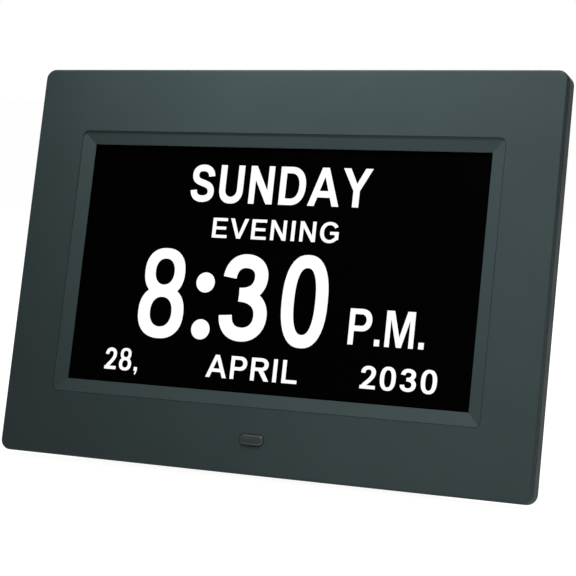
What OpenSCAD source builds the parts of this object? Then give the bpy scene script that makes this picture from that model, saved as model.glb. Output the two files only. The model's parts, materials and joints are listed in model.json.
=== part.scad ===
// Dementia day clock: a wide screen in a deep-bordered front, leaning back on a fold-out leg.
// Everything is drawn in the case's own frame (X to the right, Y to the back, Z up the front face)
// and then leant back as it stands in use.

/* [Case] */
// Width of the front
case_w = 204.4; // [190:0.2:230]
// Height of the front
case_h = 146.4; // [138:0.2:164]
// Radius of the front's corners
case_r = 3.8; // [3:0.2:8]
// Depth of the thin rim, from the front face to the rim's back
rim_depth = 9.4; // [8.8:0.2:12]
// Wall thickness of the rear shell
wall = 2; // [1.6:0.1:2.4]
// Rounding of the front edge
front_edge_r = 1; // [0.4:0.1:1.2]
// Rounding of the rim's rear edge
rim_edge_r = 1.2; // [0.6:0.1:1.6]
// Height of the shadow gap between the front and the rear shell
seam_gap = 1.2; // [0.3:0.1:1.2]
// How far the case leans back, in degrees
recline = 15.5; // [10:0.5:20]

/* [Screen] */
// Width of the screen's opening
window_w = 155.4; // [150:0.2:158]
// Height of the screen's opening
window_h = 89.1; // [84:0.1:91]
// Distance from the case's bottom edge to the opening
window_bottom = 28.6; // [26:0.1:34]
// Width of the bevelled surround
surround_w = 4.8; // [3:0.1:6]
// Step down from the face at the surround's outer edge
surround_step = 0.3; // [0.2:0.1:0.9]
// Depth of the surround at the opening
surround_depth = 2; // [1:0.1:2]
// How far the screen module reaches past the opening at each side
lcd_side_lap = 4.8; // [4.2:0.1:5.4]
// How far the screen module reaches past the opening above and below
lcd_end_lap = 5.45; // [4.5:0.05:6]
// Radius of the surround's outer corners
surround_r = 2.2; // [1:0.1:4]

/* [Remote window] */
// Length of the remote-control window
ir_window_w = 9.4; // [7:0.2:12]
// Height of the remote-control window
ir_window_h = 3.8; // [3:0.1:5]
// Its distance to the right of the middle
ir_window_x = 0.4; // [-20:0.1:20]
// Height of its middle above the case's bottom edge
ir_window_z = 12.3; // [11:0.1:15]

/* [Rear housing] */
// Width of the raised housing
box_w = 140; // [140:1:150]
// Height of the raised housing
box_h = 118; // [116:1:124]
// Distance from the case's bottom edge to the housing
box_bottom = 4; // [4:0.2:5]
// Depth from the front face to the housing's back
box_depth = 21; // [20.6:0.2:24]
// Corner radius of the housing
box_r = 7; // [5:0.5:12]
// Rounding of the housing's rear edge
box_edge_r = 2; // [1:0.1:2.4]
// Radius of a keyhole's entry for a screw head
keyhole_r = 4; // [3.6:0.1:4.4]
// Half the width of a keyhole's slot
keyhole_slot_r = 2; // [1.6:0.1:2]
// Distance from a keyhole's middle to the housing's side
keyhole_edge = 10.5; // [9.5:0.1:11]

/* [Stand] */
// Width of the leg
leg_w = 40; // [34:1:42]
// Length of the leg from its pin to the surface
leg_l = 70; // [64:0.5:76]
// How far the open leg slopes back from upright, in degrees
leg_slope = 14.4; // [12:0.2:17]
// Thickness of the leg
leg_t = 3.2; // [2.8:0.1:3.4]
// Radius of the steel pin
pin_r = 1.25; // [1:0.05:1.5]
// Radius of the leg's barrel round the pin
barrel_r = 2.6; // [2.4:0.1:2.8]

/* [Keys] */
// Length of a key
key_w = 9; // [8:0.2:10]
// Height of a key
key_h = 5; // [4:0.2:6]
// Distance from one key to the next
key_pitch = 13; // [12.6:0.1:13.2]
// How far a key stands out of the back
key_proud = 0.9; // [0.7:0.1:1.2]
// How far a key can be pressed
key_travel = 0.6; // [0.3:0.1:0.7]

/* [Electronics] */
// Thickness of the main board
board_t = 1.6; // [1.2:0.1:1.6]
// Radius of the loudspeaker
speaker_r = 14; // [12:0.5:14.5]
// Radius of the back-up cell
cell_r = 10; // [8:0.5:10]
// Radius of the plug hole in the power socket
socket_bore_r = 2.9; // [2.7:0.1:3]
// Radius of the power socket's pin
socket_pin_r = 1; // [0.8:0.05:1.25]

/* [Hidden] */
$fn = 48;

// Clearances
fit_gap = 0.3;       // loose parts that only lie beside each other
slip_gap = 0.2;      // parts that locate in each other
screw_gap = 0.05;    // round a screw's thread in its hole
pin_gap = 0.05;      // leg's barrel on the pin
pin_seat_gap = 0.02; // pin in its bosses
cut = 1;             // how far a cut runs past a face

// Case
case_mid_z = case_h / 2;
lip_depth = front_edge_r + 0.1;                 // depth of the front's visible edge
shell_front = lip_depth + seam_gap;             // where the rear shell starts
seam_inset = 0.9;                               // depth of the shadow gap
plate_back = shell_front + 0.1;                 // back of the front plate
plate_inset = wall + fit_gap;
rim_inner = rim_depth - wall;                   // inner face of the rim's back
tongue_t = 1.4;
tongue_back = rim_inner - 1.6;
plate_rib_x = [-70, -45, 45, 70];               // ribs that stiffen the borders
plate_rib_l = 7;
plate_rib_t = 1.2;
plate_rib_depth = 2;

// Screen module, from the front to the back
window_mid_z = window_bottom + window_h / 2;
lcd_w = window_w + 2 * lcd_side_lap;
lcd_h = window_h + 2 * lcd_end_lap;
gasket_t = 0.5;
lcd_front = plate_back + gasket_t;
lcd_sheet = 0.3;                                // metal frame's sheet
glass_front = lcd_front + lcd_sheet;
glass_t = 1.2;
guide_front = glass_front + glass_t;
guide_t = 1.2;
lcd_pan_front = guide_front + guide_t;
lcd_pan_t = 0.4;
lcd_back = lcd_pan_front + lcd_pan_t;
lcd_side_gap = 1.5;                             // glass edge to the module's edge

// Screen brackets
bracket_t = 0.5;
bracket_w = 9;
bracket_hook = 3.5;
bracket_end = 2;                                // foot's end past its screw
bracket_post_r = 2.6;
bracket_x = lcd_w / 2 + fit_gap;                // riser's inner face
bracket_screw_x = bracket_x + bracket_t + 2.6;
bracket_foot_y = lcd_front + 1.6;
bracket_offset_z = 28;
small_screw_r = 0.9;
small_head_r = 1.9;
small_head_h = 1.1;

// Cover screws
cover_screw_r = 1.15;
cover_head_r = 2.6;
cover_head_h = 1.1;
cover_bore_r = 3.2;
cover_hole_r = 1.6;
cover_boss_r = 3.4;
cover_screw_x = case_w / 2 - wall - 7;
cover_screw_z = [11, case_mid_z, case_h - 11];
cover_seat = rim_depth - 1.2;

// Rear housing
keyhole_spacing = box_w - 2 * keyhole_edge;
keyhole_rise = 7.2;                             // from the entry's middle to the slot's end
box_mid_z = box_bottom + box_h / 2;
box_top = box_bottom + box_h;
box_back_inner = box_depth - wall;
box_side_inner = box_w / 2 - wall;

// Surface on which the clock stands, measured down from the case's bottom front corner
rim_lift = 0.5;                                 // gap under the rim's lowest edge
rim_edge_drop = (rim_depth - rim_edge_r) * sin(recline) - rim_edge_r * cos(recline) + rim_edge_r;
surface_drop = rim_edge_drop + rim_lift;

// Stand
hinge_y = box_depth - leg_t - 0.6;
leg_gap = 0.2;                                  // leg's inner face behind the pin's axis
leg_relief_side = 5;                            // leg's edge to the hollows in its inner face
leg_relief_ends = 14;                           // what the hollows leave whole along the leg
leg_mid = leg_gap + leg_t / 2;
leg_back = leg_gap + leg_t;
pad_l = 5;
pad_w = leg_w - 8;
heel_l = 5.4;
hinge_height = leg_l * cos(leg_slope) - leg_mid * sin(leg_slope);
hinge_z = (hinge_height + hinge_y * sin(recline) - surface_drop) / cos(recline);
hinge_reach = hinge_z * sin(recline) + hinge_y * cos(recline);
leg_open = recline + leg_slope;
pad_reach = (hinge_height + leg_back * sin(leg_slope)) / cos(leg_slope);
recess_w = leg_w + 1.2;
recess_floor = hinge_y + leg_gap - fit_gap;
heel_swing = heel_l * sin(leg_open) - leg_gap * cos(leg_open);
pocket_floor = hinge_y - max(barrel_r, heel_swing) - fit_gap;
pocket_top = hinge_z + heel_l + 1;
pocket_bottom = hinge_z - barrel_r - 1.4;
recess_wall = 1.6;
bay_w = recess_w + 2 * recess_wall;
pin_boss_w = 6;
pin_boss_r = 3.6;
pin_l = recess_w + 2 * pin_boss_w - 1;

// Where the case stands: origin under the middle of the whole clock
front_reach = front_edge_r * (sin(recline) + cos(recline) - 1);
back_reach = hinge_reach + pad_reach * sin(leg_slope) + leg_back * cos(leg_slope);
shift_y = -(front_reach + back_reach) / 2;

// Main board, whose tallest part just clears the back
power_size = [14.4, 8, 9];
board_back = box_back_inner - power_size.y - 0.4;
board_front = board_back - board_t;
key_drop = 16;                                  // from the housing's top to the keys
key_z = box_top - key_drop;
key_board_h = 13;
board_top = key_z - key_board_h / 2 - 8.5;
board_bottom = 27;

// Sockets on the side of the housing
socket_face = box_w / 2 - 0.4;
power_z = board_top - 10;
power_y = board_back + 4.2;
power_bore_l = 9.5;
pin_root_l = 3;
pin_root_r = socket_pin_r - 0.4;
usb_drop = 17;                                  // from the power socket to the USB socket
usb_z = power_z - usb_drop;
usb_size = [14.4, 7, 14.2];
usb_sheet = 0.4;
usb_tongue_size = [9, 1.8, 11.2];
card_drop = 21;                                 // from the USB socket to the card slot
card_z = usb_z - card_drop;
card_size = [27, 3.2, 27];
card_gap = [25, 2.2, 24.6];

// Coin cell, beside the stand's bay
cell_t = 3.2;
cell_step_t = 0.4;
cell_holder_r = cell_r + 1;
cell_holder_t = 1;
cell_holder_rim = 2;
cell_x = -(recess_w / 2 + pin_boss_w + cell_holder_r + 1);
cell_z = 68.5;

// Main board's sides and its screws
board_left = cell_x - cell_holder_r - 2;
board_right = box_side_inner - 2;
board_boss_r = 2.8;
board_screw_r = 1.1;
board_screw_l = 6;
board_head_r = 2.2;
board_head_h = 1;
board_screw_left = -(bay_w / 2 + board_boss_r + 0.5);
board_screw_right = socket_face - card_size.x - board_boss_r - 2.8;
board_screw_at = [for (x = [board_screw_left, board_screw_right], z = [board_bottom + 4, board_top - 4])
    [x, z]];

// Chips and small parts on the main board
chip_t = 1.2;
processor_at = [6, 52];
processor_size = [14, 14];
storage_chip_at = [-14, 56];
storage_chip_size = [10, 6];
sound_chip_at = [-14, 46];
sound_chip_size = [6, 5];
supply_chip_at = [6, 37];
supply_chip_size = [5, 6];
capacitor_r = 2;
capacitor_l = 4.2;
capacitor_x = 26;
capacitor_z = [for (i = [0 : 2]) hinge_z - pin_boss_r - capacitor_r - 4.4 - 10 * i];
inlet_capacitor_x = [for (i = [0 : 1]) socket_face - power_size.x - capacitor_r - 1.2 - 6 * i];
crystal_at = [14, 65];
crystal_size = [8, 3];
crystal_t = 1.4;

// Ribbons and the sockets they end in
ribbon_t = 0.3;
lcd_ribbon_x = 12;
lcd_ribbon_w = 30;
lcd_ribbon_step = 8;
lcd_ribbon_z = window_mid_z - lcd_h / 2 + 12;   // where the ribbon leaves the screen
lcd_socket_size = [34, 4];
lcd_socket_t = 0.9;
lcd_socket_z = lcd_ribbon_z + 2 * lcd_ribbon_step;
key_ribbon_x = 20;
key_ribbon_w = 10;
key_socket_size = [14, 4];
key_socket_t = 2;
key_socket_z = board_top - 4;

// Key board and switches
key_count = 7;
flange = 1.1;                                   // how far a key's flange reaches past its cap
flange_t = 0.8;
flange_back = box_back_inner - 0.1;
stem_r = 1.6;
stem_l = 0.5;
plunger_r = 1.7;
plunger_top = flange_back - flange_t - stem_l;
plunger_l = 1.8;
switch_back = plunger_top - key_travel - 0.4;
switch_t = 3.4;
switch_w = 6;
key_board_back = switch_back - switch_t;
key_board_t = 1.2;
key_board_front = key_board_back - key_board_t;
key_board_screw_x = key_x(key_count - 1) + key_w / 2 + flange + board_boss_r + fit_gap;
key_board_w = 2 * (key_board_screw_x + 3.3);
key_board_screw_l = 5;

// Loudspeaker
speaker_x = -box_side_inner + speaker_r + 3;
speaker_z = 34;
speaker_gasket_t = 0.5;
speaker_flange_t = 1.2;
speaker_back = box_back_inner - speaker_gasket_t;
speaker_depth = 6;
magnet_r = 7;
speaker_screw_out = speaker_r + 2;
speaker_screw_l = 2.6;
speaker_head_r = 2.8;
speaker_boss_r = 1.9;
speaker_plug = [-28, 52];
speaker_plug_size = [5, 6];
speaker_plug_t = 3;
grille_hole_r = 1;
grille_pitch = 3.6;
grille_rings = 3;

// Remote receiver
ir_board_front = plate_back + 2.6;
ir_board_t = 1;
ir_board_w = 22;
ir_board_h = 9;
ir_post_r = 1.9;
ir_screw_x = 8;
ir_screw_l = 3;
ir_proud = 0.4;
ir_flange = 1;                                  // how far the window's flange reaches past it
ir_flange_t = 0.6;
ir_cable_t = 0.8;
ir_cable_w = 3.6;

// Rubber feet
foot_l = 16;
foot_x = box_w / 2 - box_r - foot_l / 2 - 1;
foot_y = [14.6, 18.8];
foot_seat = 0.6;

// Label place
label_w = 34;
label_h = 20;
label_t = 0.4;
side_inset = 23;                                // housing's side to the label's and vents' middle
label_x = -box_w / 2 + side_inset;
label_z = 76;

// Vents
vent_count = 7;
vent_w = 1.6;
vent_l = 16;
vent_pitch = 4;
vent_x = box_w / 2 - side_inset;
vent_z = 32;

charcoal = [0.17, 0.21, 0.215];
board_green = [0.07, 0.3, 0.16];

// ---- placing ----

// The leant-back case
module in_case() {
    translate([0, shift_y, surface_drop])
        rotate([-recline, 0, 0])
            children();
}

// Draws a flat outline (x right, y up the face) as a plate that grows backwards from a depth
module facing(depth) {
    translate([0, depth, 0])
        mirror([0, 1, -1])
            children();
}

// A plate between two depths, from a flat outline
module plate(front, back) {
    facing(front)
        linear_extrude(back - front)
            children();
}

// A round post or hole between two depths
module post(x, z, r, front, back) {
    translate([x, 0, z])
        facing(front)
            cylinder(r = r, h = back - front);
}

// ---- shapes that repeat ----

module rounded_rect(w, h, r) {
    square([w - 2 * r, h], center = true);
    square([w, h - 2 * r], center = true);
    for (sx = [-1, 1], sy = [-1, 1])
        translate([sx * (w / 2 - r), sy * (h / 2 - r)])
            circle(r = r);
}

// Section across a slab whose far edge is rounded, from its middle line to its edge
module edge_section(half, t, edge_r) {
    square([half - edge_r, t]);
    square([half, t - edge_r]);
    translate([half - edge_r, t - edge_r])
        intersection() {
            circle(r = edge_r);
            square(edge_r);
        }
}

module full_section(w, t, edge_r) {
    edge_section(w / 2, t, edge_r);
    mirror([1, 0])
        edge_section(w / 2, t, edge_r);
}

// Slab with round corners and a rounded far edge
module soft_slab(w, h, r, t, edge_r) {
    for (sx = [-1, 1], sy = [-1, 1])
        translate([sx * (w / 2 - r), sy * (h / 2 - r), 0])
            rotate_extrude()
                edge_section(r, t, edge_r);
    rotate([90, 0, 0])
        linear_extrude(h - 2 * r, center = true)
            full_section(w, t, edge_r);
    rotate([90, 0, 90])
        linear_extrude(w - 2 * r, center = true)
            full_section(h, t, edge_r);
}

// Screw with its head's underside at zero, the head upwards and a cross recess in it
module screw(r, l, head_r, head_h) {
    translate([0, 0, -l])
        cylinder(r = r, h = l);
    difference() {
        cylinder(r = head_r, h = head_h);
        for (turn = [0, 90])
            rotate([0, 0, turn])
                translate([-head_r * 0.6, -head_r * 0.13, head_h * 0.45])
                    cube([head_r * 1.2, head_r * 0.26, head_h]);
    }
}

// Screw driven in from the back
module screw_from_back(x, z, seat, r, l, head_r, head_h) {
    translate([x, 0, z])
        facing(seat)
            screw(r, l, head_r, head_h);
}

// Screw driven in from the front
module screw_from_front(x, z, seat, r, l, head_r, head_h) {
    translate([x, 0, z])
        facing(seat)
            mirror([0, 0, 1])
                screw(r, l, head_r, head_h);
}

// Flat cable seen from its side: straight runs between the points of a route
module flat_route(route, t) {
    for (i = [0 : len(route) - 2]) {
        low = [min(route[i].x, route[i + 1].x), min(route[i].y, route[i + 1].y)];
        high = [max(route[i].x, route[i + 1].x), max(route[i].y, route[i + 1].y)];
        translate(low - [t / 2, t / 2])
            square(high - low + [t, t]);
    }
}

// A flat cable whose route is given as depth and height, with its middle at x
module flat_cable(route, x, w, t) {
    translate([x, 0, 0])
        rotate([90, 0, 90])
            linear_extrude(w, center = true)
                flat_route(route, t);
}

function key_x(i) = (i - (key_count - 1) / 2) * key_pitch;

// ---- front ----

// Space taken out of the front for the bevelled surround
module surround_cut() {
    outer = [window_w + 2 * surround_w, window_h + 2 * surround_w];
    translate([0, 0, window_mid_z])
        intersection() {
            plate(-cut, surround_depth)
                rounded_rect(outer.x, outer.y, surround_r);
            linear_extrude(outer.y + cut, center = true)
                slope_section(outer.x / 2, window_w / 2);
            rotate([0, 90, 0])
                linear_extrude(outer.x + cut, center = true)
                    slope_section(outer.y / 2, window_h / 2);
        }
}

// Section of the surround: straight step at the edge, then an even slope to the opening
module slope_section(outer_half, inner_half) {
    polygon([
        [-outer_half, -cut], [outer_half, -cut],
        [outer_half, surround_step], [inner_half, surround_depth],
        [-inner_half, surround_depth], [-outer_half, surround_step]
    ]);
}

module front_bezel() {
    color(charcoal)
        in_case()
            difference() {
                union() {
                    // visible plate with its rounded front edge
                    translate([0, lip_depth, case_mid_z])
                        rotate([90, 0, 0])
                            soft_slab(case_w, case_h, case_r, lip_depth, front_edge_r);
                    // shoulder behind the edge, which makes the shadow gap
                    translate([0, 0, case_mid_z])
                        plate(lip_depth - 0.1, shell_front - 0.1)
                            rounded_rect(case_w - 2 * seam_inset, case_h - 2 * seam_inset,
                                case_r - seam_inset);
                    translate([0, 0, case_mid_z])
                        plate(lip_depth - 0.1, plate_back)
                            rounded_rect(case_w - 2 * plate_inset, case_h - 2 * plate_inset,
                                case_r - seam_inset);
                    locating_wall();
                    bezel_posts();
                }
                surround_cut();
                translate([0, 0, window_mid_z])
                    plate(-cut, plate_back + cut)
                        square([window_w, window_h], center = true);
                translate([ir_window_x, 0, ir_window_z])
                    plate(-cut, plate_back + cut)
                        rounded_rect(ir_window_w + 2 * slip_gap, ir_window_h + 2 * slip_gap,
                            ir_window_h / 2 + slip_gap - 0.01);
                bezel_screw_holes();
            }
}

// Wall that locates inside the rear shell
module locating_wall() {
    locate_w = case_w - 2 * (wall + slip_gap);
    locate_h = case_h - 2 * (wall + slip_gap);
    locate_r = max(case_r - wall, 1);
    translate([0, 0, case_mid_z])
        difference() {
            plate(plate_back - 0.1, tongue_back)
                rounded_rect(locate_w, locate_h, locate_r);
            plate(plate_back - cut, tongue_back + cut)
                rounded_rect(locate_w - 2 * tongue_t, locate_h - 2 * tongue_t, locate_r);
        }
}

module bezel_posts() {
    for (sx = [-1, 1], z = cover_screw_z)
        post(sx * cover_screw_x, z, cover_boss_r, plate_back - 0.1, rim_inner);
    for (sx = [-1, 1], sz = [-1, 1])
        post(sx * bracket_screw_x, window_mid_z + sz * bracket_offset_z, bracket_post_r,
            plate_back - 0.1, bracket_foot_y);
    for (sx = [-1, 1])
        post(ir_window_x + sx * ir_screw_x, ir_window_z, ir_post_r, plate_back - 0.1, ir_board_front);
    // ribs that stiffen the border above and below the screen
    for (sz = [-1, 1], x = plate_rib_x)
        translate([x, 0, window_mid_z + sz * (lcd_h / 2 + plate_rib_l / 2 + 1.5)])
            plate(plate_back - 0.1, plate_back + plate_rib_depth)
                square([plate_rib_t, plate_rib_l], center = true);
}

module bezel_screw_holes() {
    for (sx = [-1, 1], z = cover_screw_z)
        post(sx * cover_screw_x, z, cover_screw_r + screw_gap, plate_back, rim_inner + cut);
    for (sx = [-1, 1], sz = [-1, 1])
        post(sx * bracket_screw_x, window_mid_z + sz * bracket_offset_z, small_screw_r + screw_gap,
            plate_back, bracket_foot_y + cut);
    for (sx = [-1, 1])
        post(ir_window_x + sx * ir_screw_x, ir_window_z, small_screw_r + screw_gap, plate_back,
            ir_board_front + cut);
}

module ir_window() {
    color([0.06, 0.06, 0.07])
        in_case()
            translate([ir_window_x, 0, ir_window_z]) {
                plate(-ir_proud, plate_back)
                    rounded_rect(ir_window_w, ir_window_h, ir_window_h / 2 - 0.01);
                // flange that keeps the window in its hole
                plate(plate_back, plate_back + ir_flange_t)
                    rounded_rect(ir_window_w + 2 * ir_flange, ir_window_h + 2 * ir_flange, ir_window_h / 2);
            }
}

module ir_board() {
    color(board_green)
        in_case()
            difference() {
                translate([ir_window_x, 0, ir_window_z])
                    plate(ir_board_front, ir_board_front + ir_board_t)
                        rounded_rect(ir_board_w, ir_board_h, 1);
                for (sx = [-1, 1])
                    post(ir_window_x + sx * ir_screw_x, ir_window_z, small_screw_r + 0.15,
                        ir_board_front - cut, ir_board_front + ir_board_t + cut);
            }
}

module ir_receiver() {
    color([0.05, 0.05, 0.05])
        in_case()
            translate([ir_window_x, 0, ir_window_z]) {
                plate(ir_board_front - 0.8, ir_board_front)
                    square([6, 5], center = true);
                // lens dome towards the window
                plate(ir_board_front - 1.7, ir_board_front - 0.8)
                    circle(r = 2);
            }
}

module ir_board_screws() {
    color("silver")
        in_case()
            for (sx = [-1, 1])
                screw_from_back(ir_window_x + sx * ir_screw_x, ir_window_z,
                    ir_board_front + ir_board_t, small_screw_r, ir_screw_l, small_head_r,
                    small_head_h / 2);
}

module ir_cable() {
    start_y = ir_board_front + ir_board_t + ir_cable_t / 2;
    run_y = board_front - ir_cable_t / 2;
    color("dimgray")
        in_case()
            flat_cable([[start_y, ir_window_z + 1], [start_y, ir_window_z + 5],
                [run_y, ir_window_z + 5], [run_y, board_bottom + 4]], ir_window_x, ir_cable_w, ir_cable_t);
}

// ---- screen ----

module lcd_gasket() {
    color([0.1, 0.1, 0.1])
        in_case()
            translate([0, 0, window_mid_z])
                plate(plate_back, lcd_front)
                    difference() {
                        square([window_w + 6, window_h + 6], center = true);
                        square([window_w + 1, window_h + 1], center = true);
                    }
}

module lcd_frame() {
    color("silver")
        in_case()
            translate([0, 0, window_mid_z])
                difference() {
                    plate(lcd_front, lcd_pan_front)
                        square([lcd_w, lcd_h], center = true);
                    plate(lcd_front - cut, lcd_front + cut)
                        square([window_w + 1.6, window_h + 1.6], center = true);
                    plate(glass_front, lcd_pan_front + cut)
                        square([lcd_w - 2 * lcd_sheet, lcd_h - 2 * lcd_sheet], center = true);
                }
}

module lcd_glass() {
    color([0.01, 0.01, 0.012])
        in_case()
            translate([0, 0, window_mid_z])
                plate(glass_front, guide_front)
                    square([lcd_w - 2 * lcd_side_gap, lcd_h - 2 * lcd_side_gap], center = true);
}

module lcd_light_guide() {
    color([0.9, 0.92, 0.95])
        in_case()
            translate([0, 0, window_mid_z])
                plate(guide_front, lcd_pan_front)
                    square([lcd_w - 2 * lcd_side_gap, lcd_h - 2 * lcd_side_gap], center = true);
}

module lcd_back_plate() {
    color("gainsboro")
        in_case()
            translate([0, 0, window_mid_z])
                plate(lcd_pan_front, lcd_back)
                    square([lcd_w, lcd_h], center = true);
}

// Seen from above: foot on the post, riser beside the screen, hook over its back
module bracket_section() {
    translate([bracket_x, bracket_foot_y])
        square([bracket_screw_x + bracket_end - bracket_x, bracket_t]);
    translate([bracket_x, bracket_foot_y])
        square([bracket_t, lcd_back + bracket_t - bracket_foot_y]);
    translate([bracket_x - bracket_hook, lcd_back])
        square([bracket_hook + bracket_t, bracket_t]);
}

module lcd_brackets() {
    color("silver")
        in_case()
            for (side = [0, 1], sz = [-1, 1])
                mirror([side, 0, 0])
                    difference() {
                        translate([0, 0, window_mid_z + sz * bracket_offset_z])
                            linear_extrude(bracket_w, center = true)
                                bracket_section();
                        post(bracket_screw_x, window_mid_z + sz * bracket_offset_z,
                            small_screw_r + 0.15, bracket_foot_y - cut, bracket_foot_y + cut);
                    }
}

module lcd_bracket_screws() {
    color("silver")
        in_case()
            for (sx = [-1, 1], sz = [-1, 1])
                screw_from_back(sx * bracket_screw_x, window_mid_z + sz * bracket_offset_z,
                    bracket_foot_y + bracket_t, small_screw_r, bracket_foot_y - plate_back,
                    small_head_r, small_head_h);
}

module lcd_ribbon() {
    start_y = lcd_back + ribbon_t / 2;
    run_y = board_front - lcd_socket_t / 2;
    turn_z = lcd_ribbon_z + lcd_ribbon_step;
    end_z = lcd_socket_z - lcd_socket_size.y / 2 - ribbon_t / 2;
    color([0.75, 0.5, 0.15])
        in_case()
            flat_cable([[start_y, lcd_ribbon_z], [start_y, turn_z], [run_y, turn_z], [run_y, end_z]],
                lcd_ribbon_x, lcd_ribbon_w, ribbon_t);
}

// ---- main board ----

module main_board() {
    color(board_green)
        in_case()
            difference() {
                plate(board_front, board_back)
                    translate([board_left, board_bottom])
                        square([board_right - board_left, board_top - board_bottom]);
                for (at = board_screw_at)
                    post(at.x, at.y, board_screw_r + 0.2, board_front - cut, board_back + cut);
            }
}

module chip(at, size, front, t) {
    translate([at.x, 0, at.y])
        plate(front, front + t)
            square(size, center = true);
}

module processor_chip() {
    color([0.06, 0.06, 0.065])
        in_case()
            chip(processor_at, processor_size, board_back, chip_t);
}

module memory_chips() {
    color([0.06, 0.06, 0.065])
        in_case() {
            chip(storage_chip_at, storage_chip_size, board_back, chip_t);
            chip(sound_chip_at, sound_chip_size, board_back, chip_t);
            chip(supply_chip_at, supply_chip_size, board_back, chip_t);
        }
}

module capacitors() {
    color("silver")
        in_case() {
            for (z = capacitor_z)
                post(capacitor_x, z, capacitor_r, board_back, board_back + capacitor_l);
            for (x = inlet_capacitor_x)
                post(x, board_top - 5, capacitor_r, board_back, board_back + capacitor_l);
        }
}

module clock_crystal() {
    color("gainsboro")
        in_case()
            translate([crystal_at.x, 0, crystal_at.y])
                plate(board_back, board_back + crystal_t)
                    rounded_rect(crystal_size.x, crystal_size.y, crystal_size.y / 2 - 0.1);
}

module coin_cell_holder() {
    holder_back = board_back + cell_holder_t + cell_holder_rim;
    color([0.12, 0.12, 0.13])
        in_case()
            difference() {
                post(cell_x, cell_z, cell_holder_r, board_back, holder_back);
                post(cell_x, cell_z, cell_r + slip_gap, board_back + cell_holder_t, holder_back + cut);
            }
}

module coin_cell() {
    cell_front = board_back + cell_holder_t;
    color("silver")
        in_case() {
            post(cell_x, cell_z, cell_r, cell_front, cell_front + cell_t - cell_step_t);
            post(cell_x, cell_z, cell_r - 1.4, cell_front + cell_t - cell_step_t, cell_front + cell_t);
        }
}

// Sockets for the screen's and the keys' ribbons and the loudspeaker's plug
module ribbon_sockets() {
    color("ivory")
        in_case() {
            chip([lcd_ribbon_x, lcd_socket_z], lcd_socket_size, board_front - lcd_socket_t, lcd_socket_t);
            chip([key_ribbon_x, key_socket_z], key_socket_size, board_back, key_socket_t);
            chip(speaker_plug, speaker_plug_size, board_back, speaker_plug_t);
        }
}

// ---- sockets on the side ----

module power_socket() {
    color([0.05, 0.05, 0.055])
        in_case()
            difference() {
                translate([socket_face - power_size.x, board_back, power_z - power_size.z / 2])
                    cube(power_size);
                translate([socket_face - power_bore_l, power_y, power_z])
                    rotate([0, 90, 0])
                        cylinder(r = socket_bore_r, h = power_bore_l + cut);
                translate([socket_face - power_bore_l - pin_root_l, power_y, power_z])
                    rotate([0, 90, 0])
                        cylinder(r = pin_root_r + screw_gap, h = pin_root_l + cut);
            }
}

module power_socket_pin() {
    color("silver")
        in_case()
            translate([socket_face - power_bore_l, power_y, power_z])
                rotate([0, 90, 0]) {
                    cylinder(r = socket_pin_r, h = power_bore_l - 0.6);
                    // slimmer root held in the socket's body
                    translate([0, 0, -pin_root_l])
                        cylinder(r = pin_root_r, h = pin_root_l + 0.1);
                }
}

module usb_socket() {
    inner_x = socket_face - usb_size.x;
    color("silver")
        in_case()
            difference() {
                translate([inner_x, board_back, usb_z - usb_size.z / 2])
                    cube(usb_size);
                translate([inner_x + 2, board_back + usb_sheet, usb_z - usb_size.z / 2 + usb_sheet])
                    cube([usb_size.x, usb_size.y - 2 * usb_sheet, usb_size.z - 2 * usb_sheet]);
            }
}

module usb_tongue() {
    color("white")
        in_case()
            translate([socket_face - usb_size.x + 2, board_back + usb_sheet + 1,
                usb_z - usb_tongue_size.z / 2])
                cube(usb_tongue_size);
}

module card_slot() {
    inner_x = socket_face - card_size.x;
    color("silver")
        in_case()
            difference() {
                translate([inner_x, board_back, card_z - card_size.z / 2])
                    cube(card_size);
                translate([socket_face - card_gap.x, board_back + 0.5, card_z - card_gap.z / 2])
                    cube([card_gap.x + cut, card_gap.y, card_gap.z]);
            }
}

module main_board_screws() {
    color("silver")
        in_case()
            for (at = board_screw_at)
                screw_from_front(at.x, at.y, board_front, board_screw_r, board_screw_l, board_head_r,
                    board_head_h);
}

// ---- keys ----

module key_board() {
    color(board_green)
        in_case()
            difference() {
                translate([0, 0, key_z])
                    plate(key_board_front, key_board_back)
                        square([key_board_w, key_board_h], center = true);
                for (sx = [-1, 1])
                    post(sx * key_board_screw_x, key_z, board_screw_r + 0.2, key_board_front - cut,
                        key_board_back + cut);
            }
}

module key_switches() {
    color([0.1, 0.1, 0.1])
        in_case()
            for (i = [0 : key_count - 1])
                difference() {
                    chip([key_x(i), key_z], [switch_w, switch_w], key_board_back, switch_t);
                    post(key_x(i), key_z, plunger_r + screw_gap,
                        plunger_top - plunger_l - key_travel - 0.2, switch_back + cut);
                }
}

module key_ribbon() {
    start_y = board_back + key_socket_t / 2;
    start_z = key_socket_z + key_socket_size.y / 2 + ribbon_t / 2;
    run_y = key_board_front - ribbon_t / 2;
    turn_z = start_z + 5;
    color("white")
        in_case()
            flat_cable([[start_y, start_z], [start_y, turn_z], [run_y, turn_z], [run_y, key_z - 1]],
                key_ribbon_x, key_ribbon_w, ribbon_t);
}

module key_board_screws() {
    color("silver")
        in_case()
            for (sx = [-1, 1])
                screw_from_front(sx * key_board_screw_x, key_z, key_board_front, board_screw_r,
                    key_board_screw_l, board_head_r, board_head_h);
}

// One key: cap through the back wall, flange behind the wall, short stem on the plunger
module key_cap(i) {
    color([0.13, 0.155, 0.16])
        in_case()
            translate([key_x(i), 0, key_z]) {
                facing(flange_back - 0.05)
                    soft_slab(key_w, key_h, 1.6, box_depth + key_proud - flange_back + 0.05, 0.5);
                plate(flange_back - flange_t, flange_back)
                    rounded_rect(key_w + 2 * flange, key_h + 2 * flange, 1.8);
                plate(plunger_top, flange_back - flange_t + 0.05)
                    circle(r = stem_r);
            }
}

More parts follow.
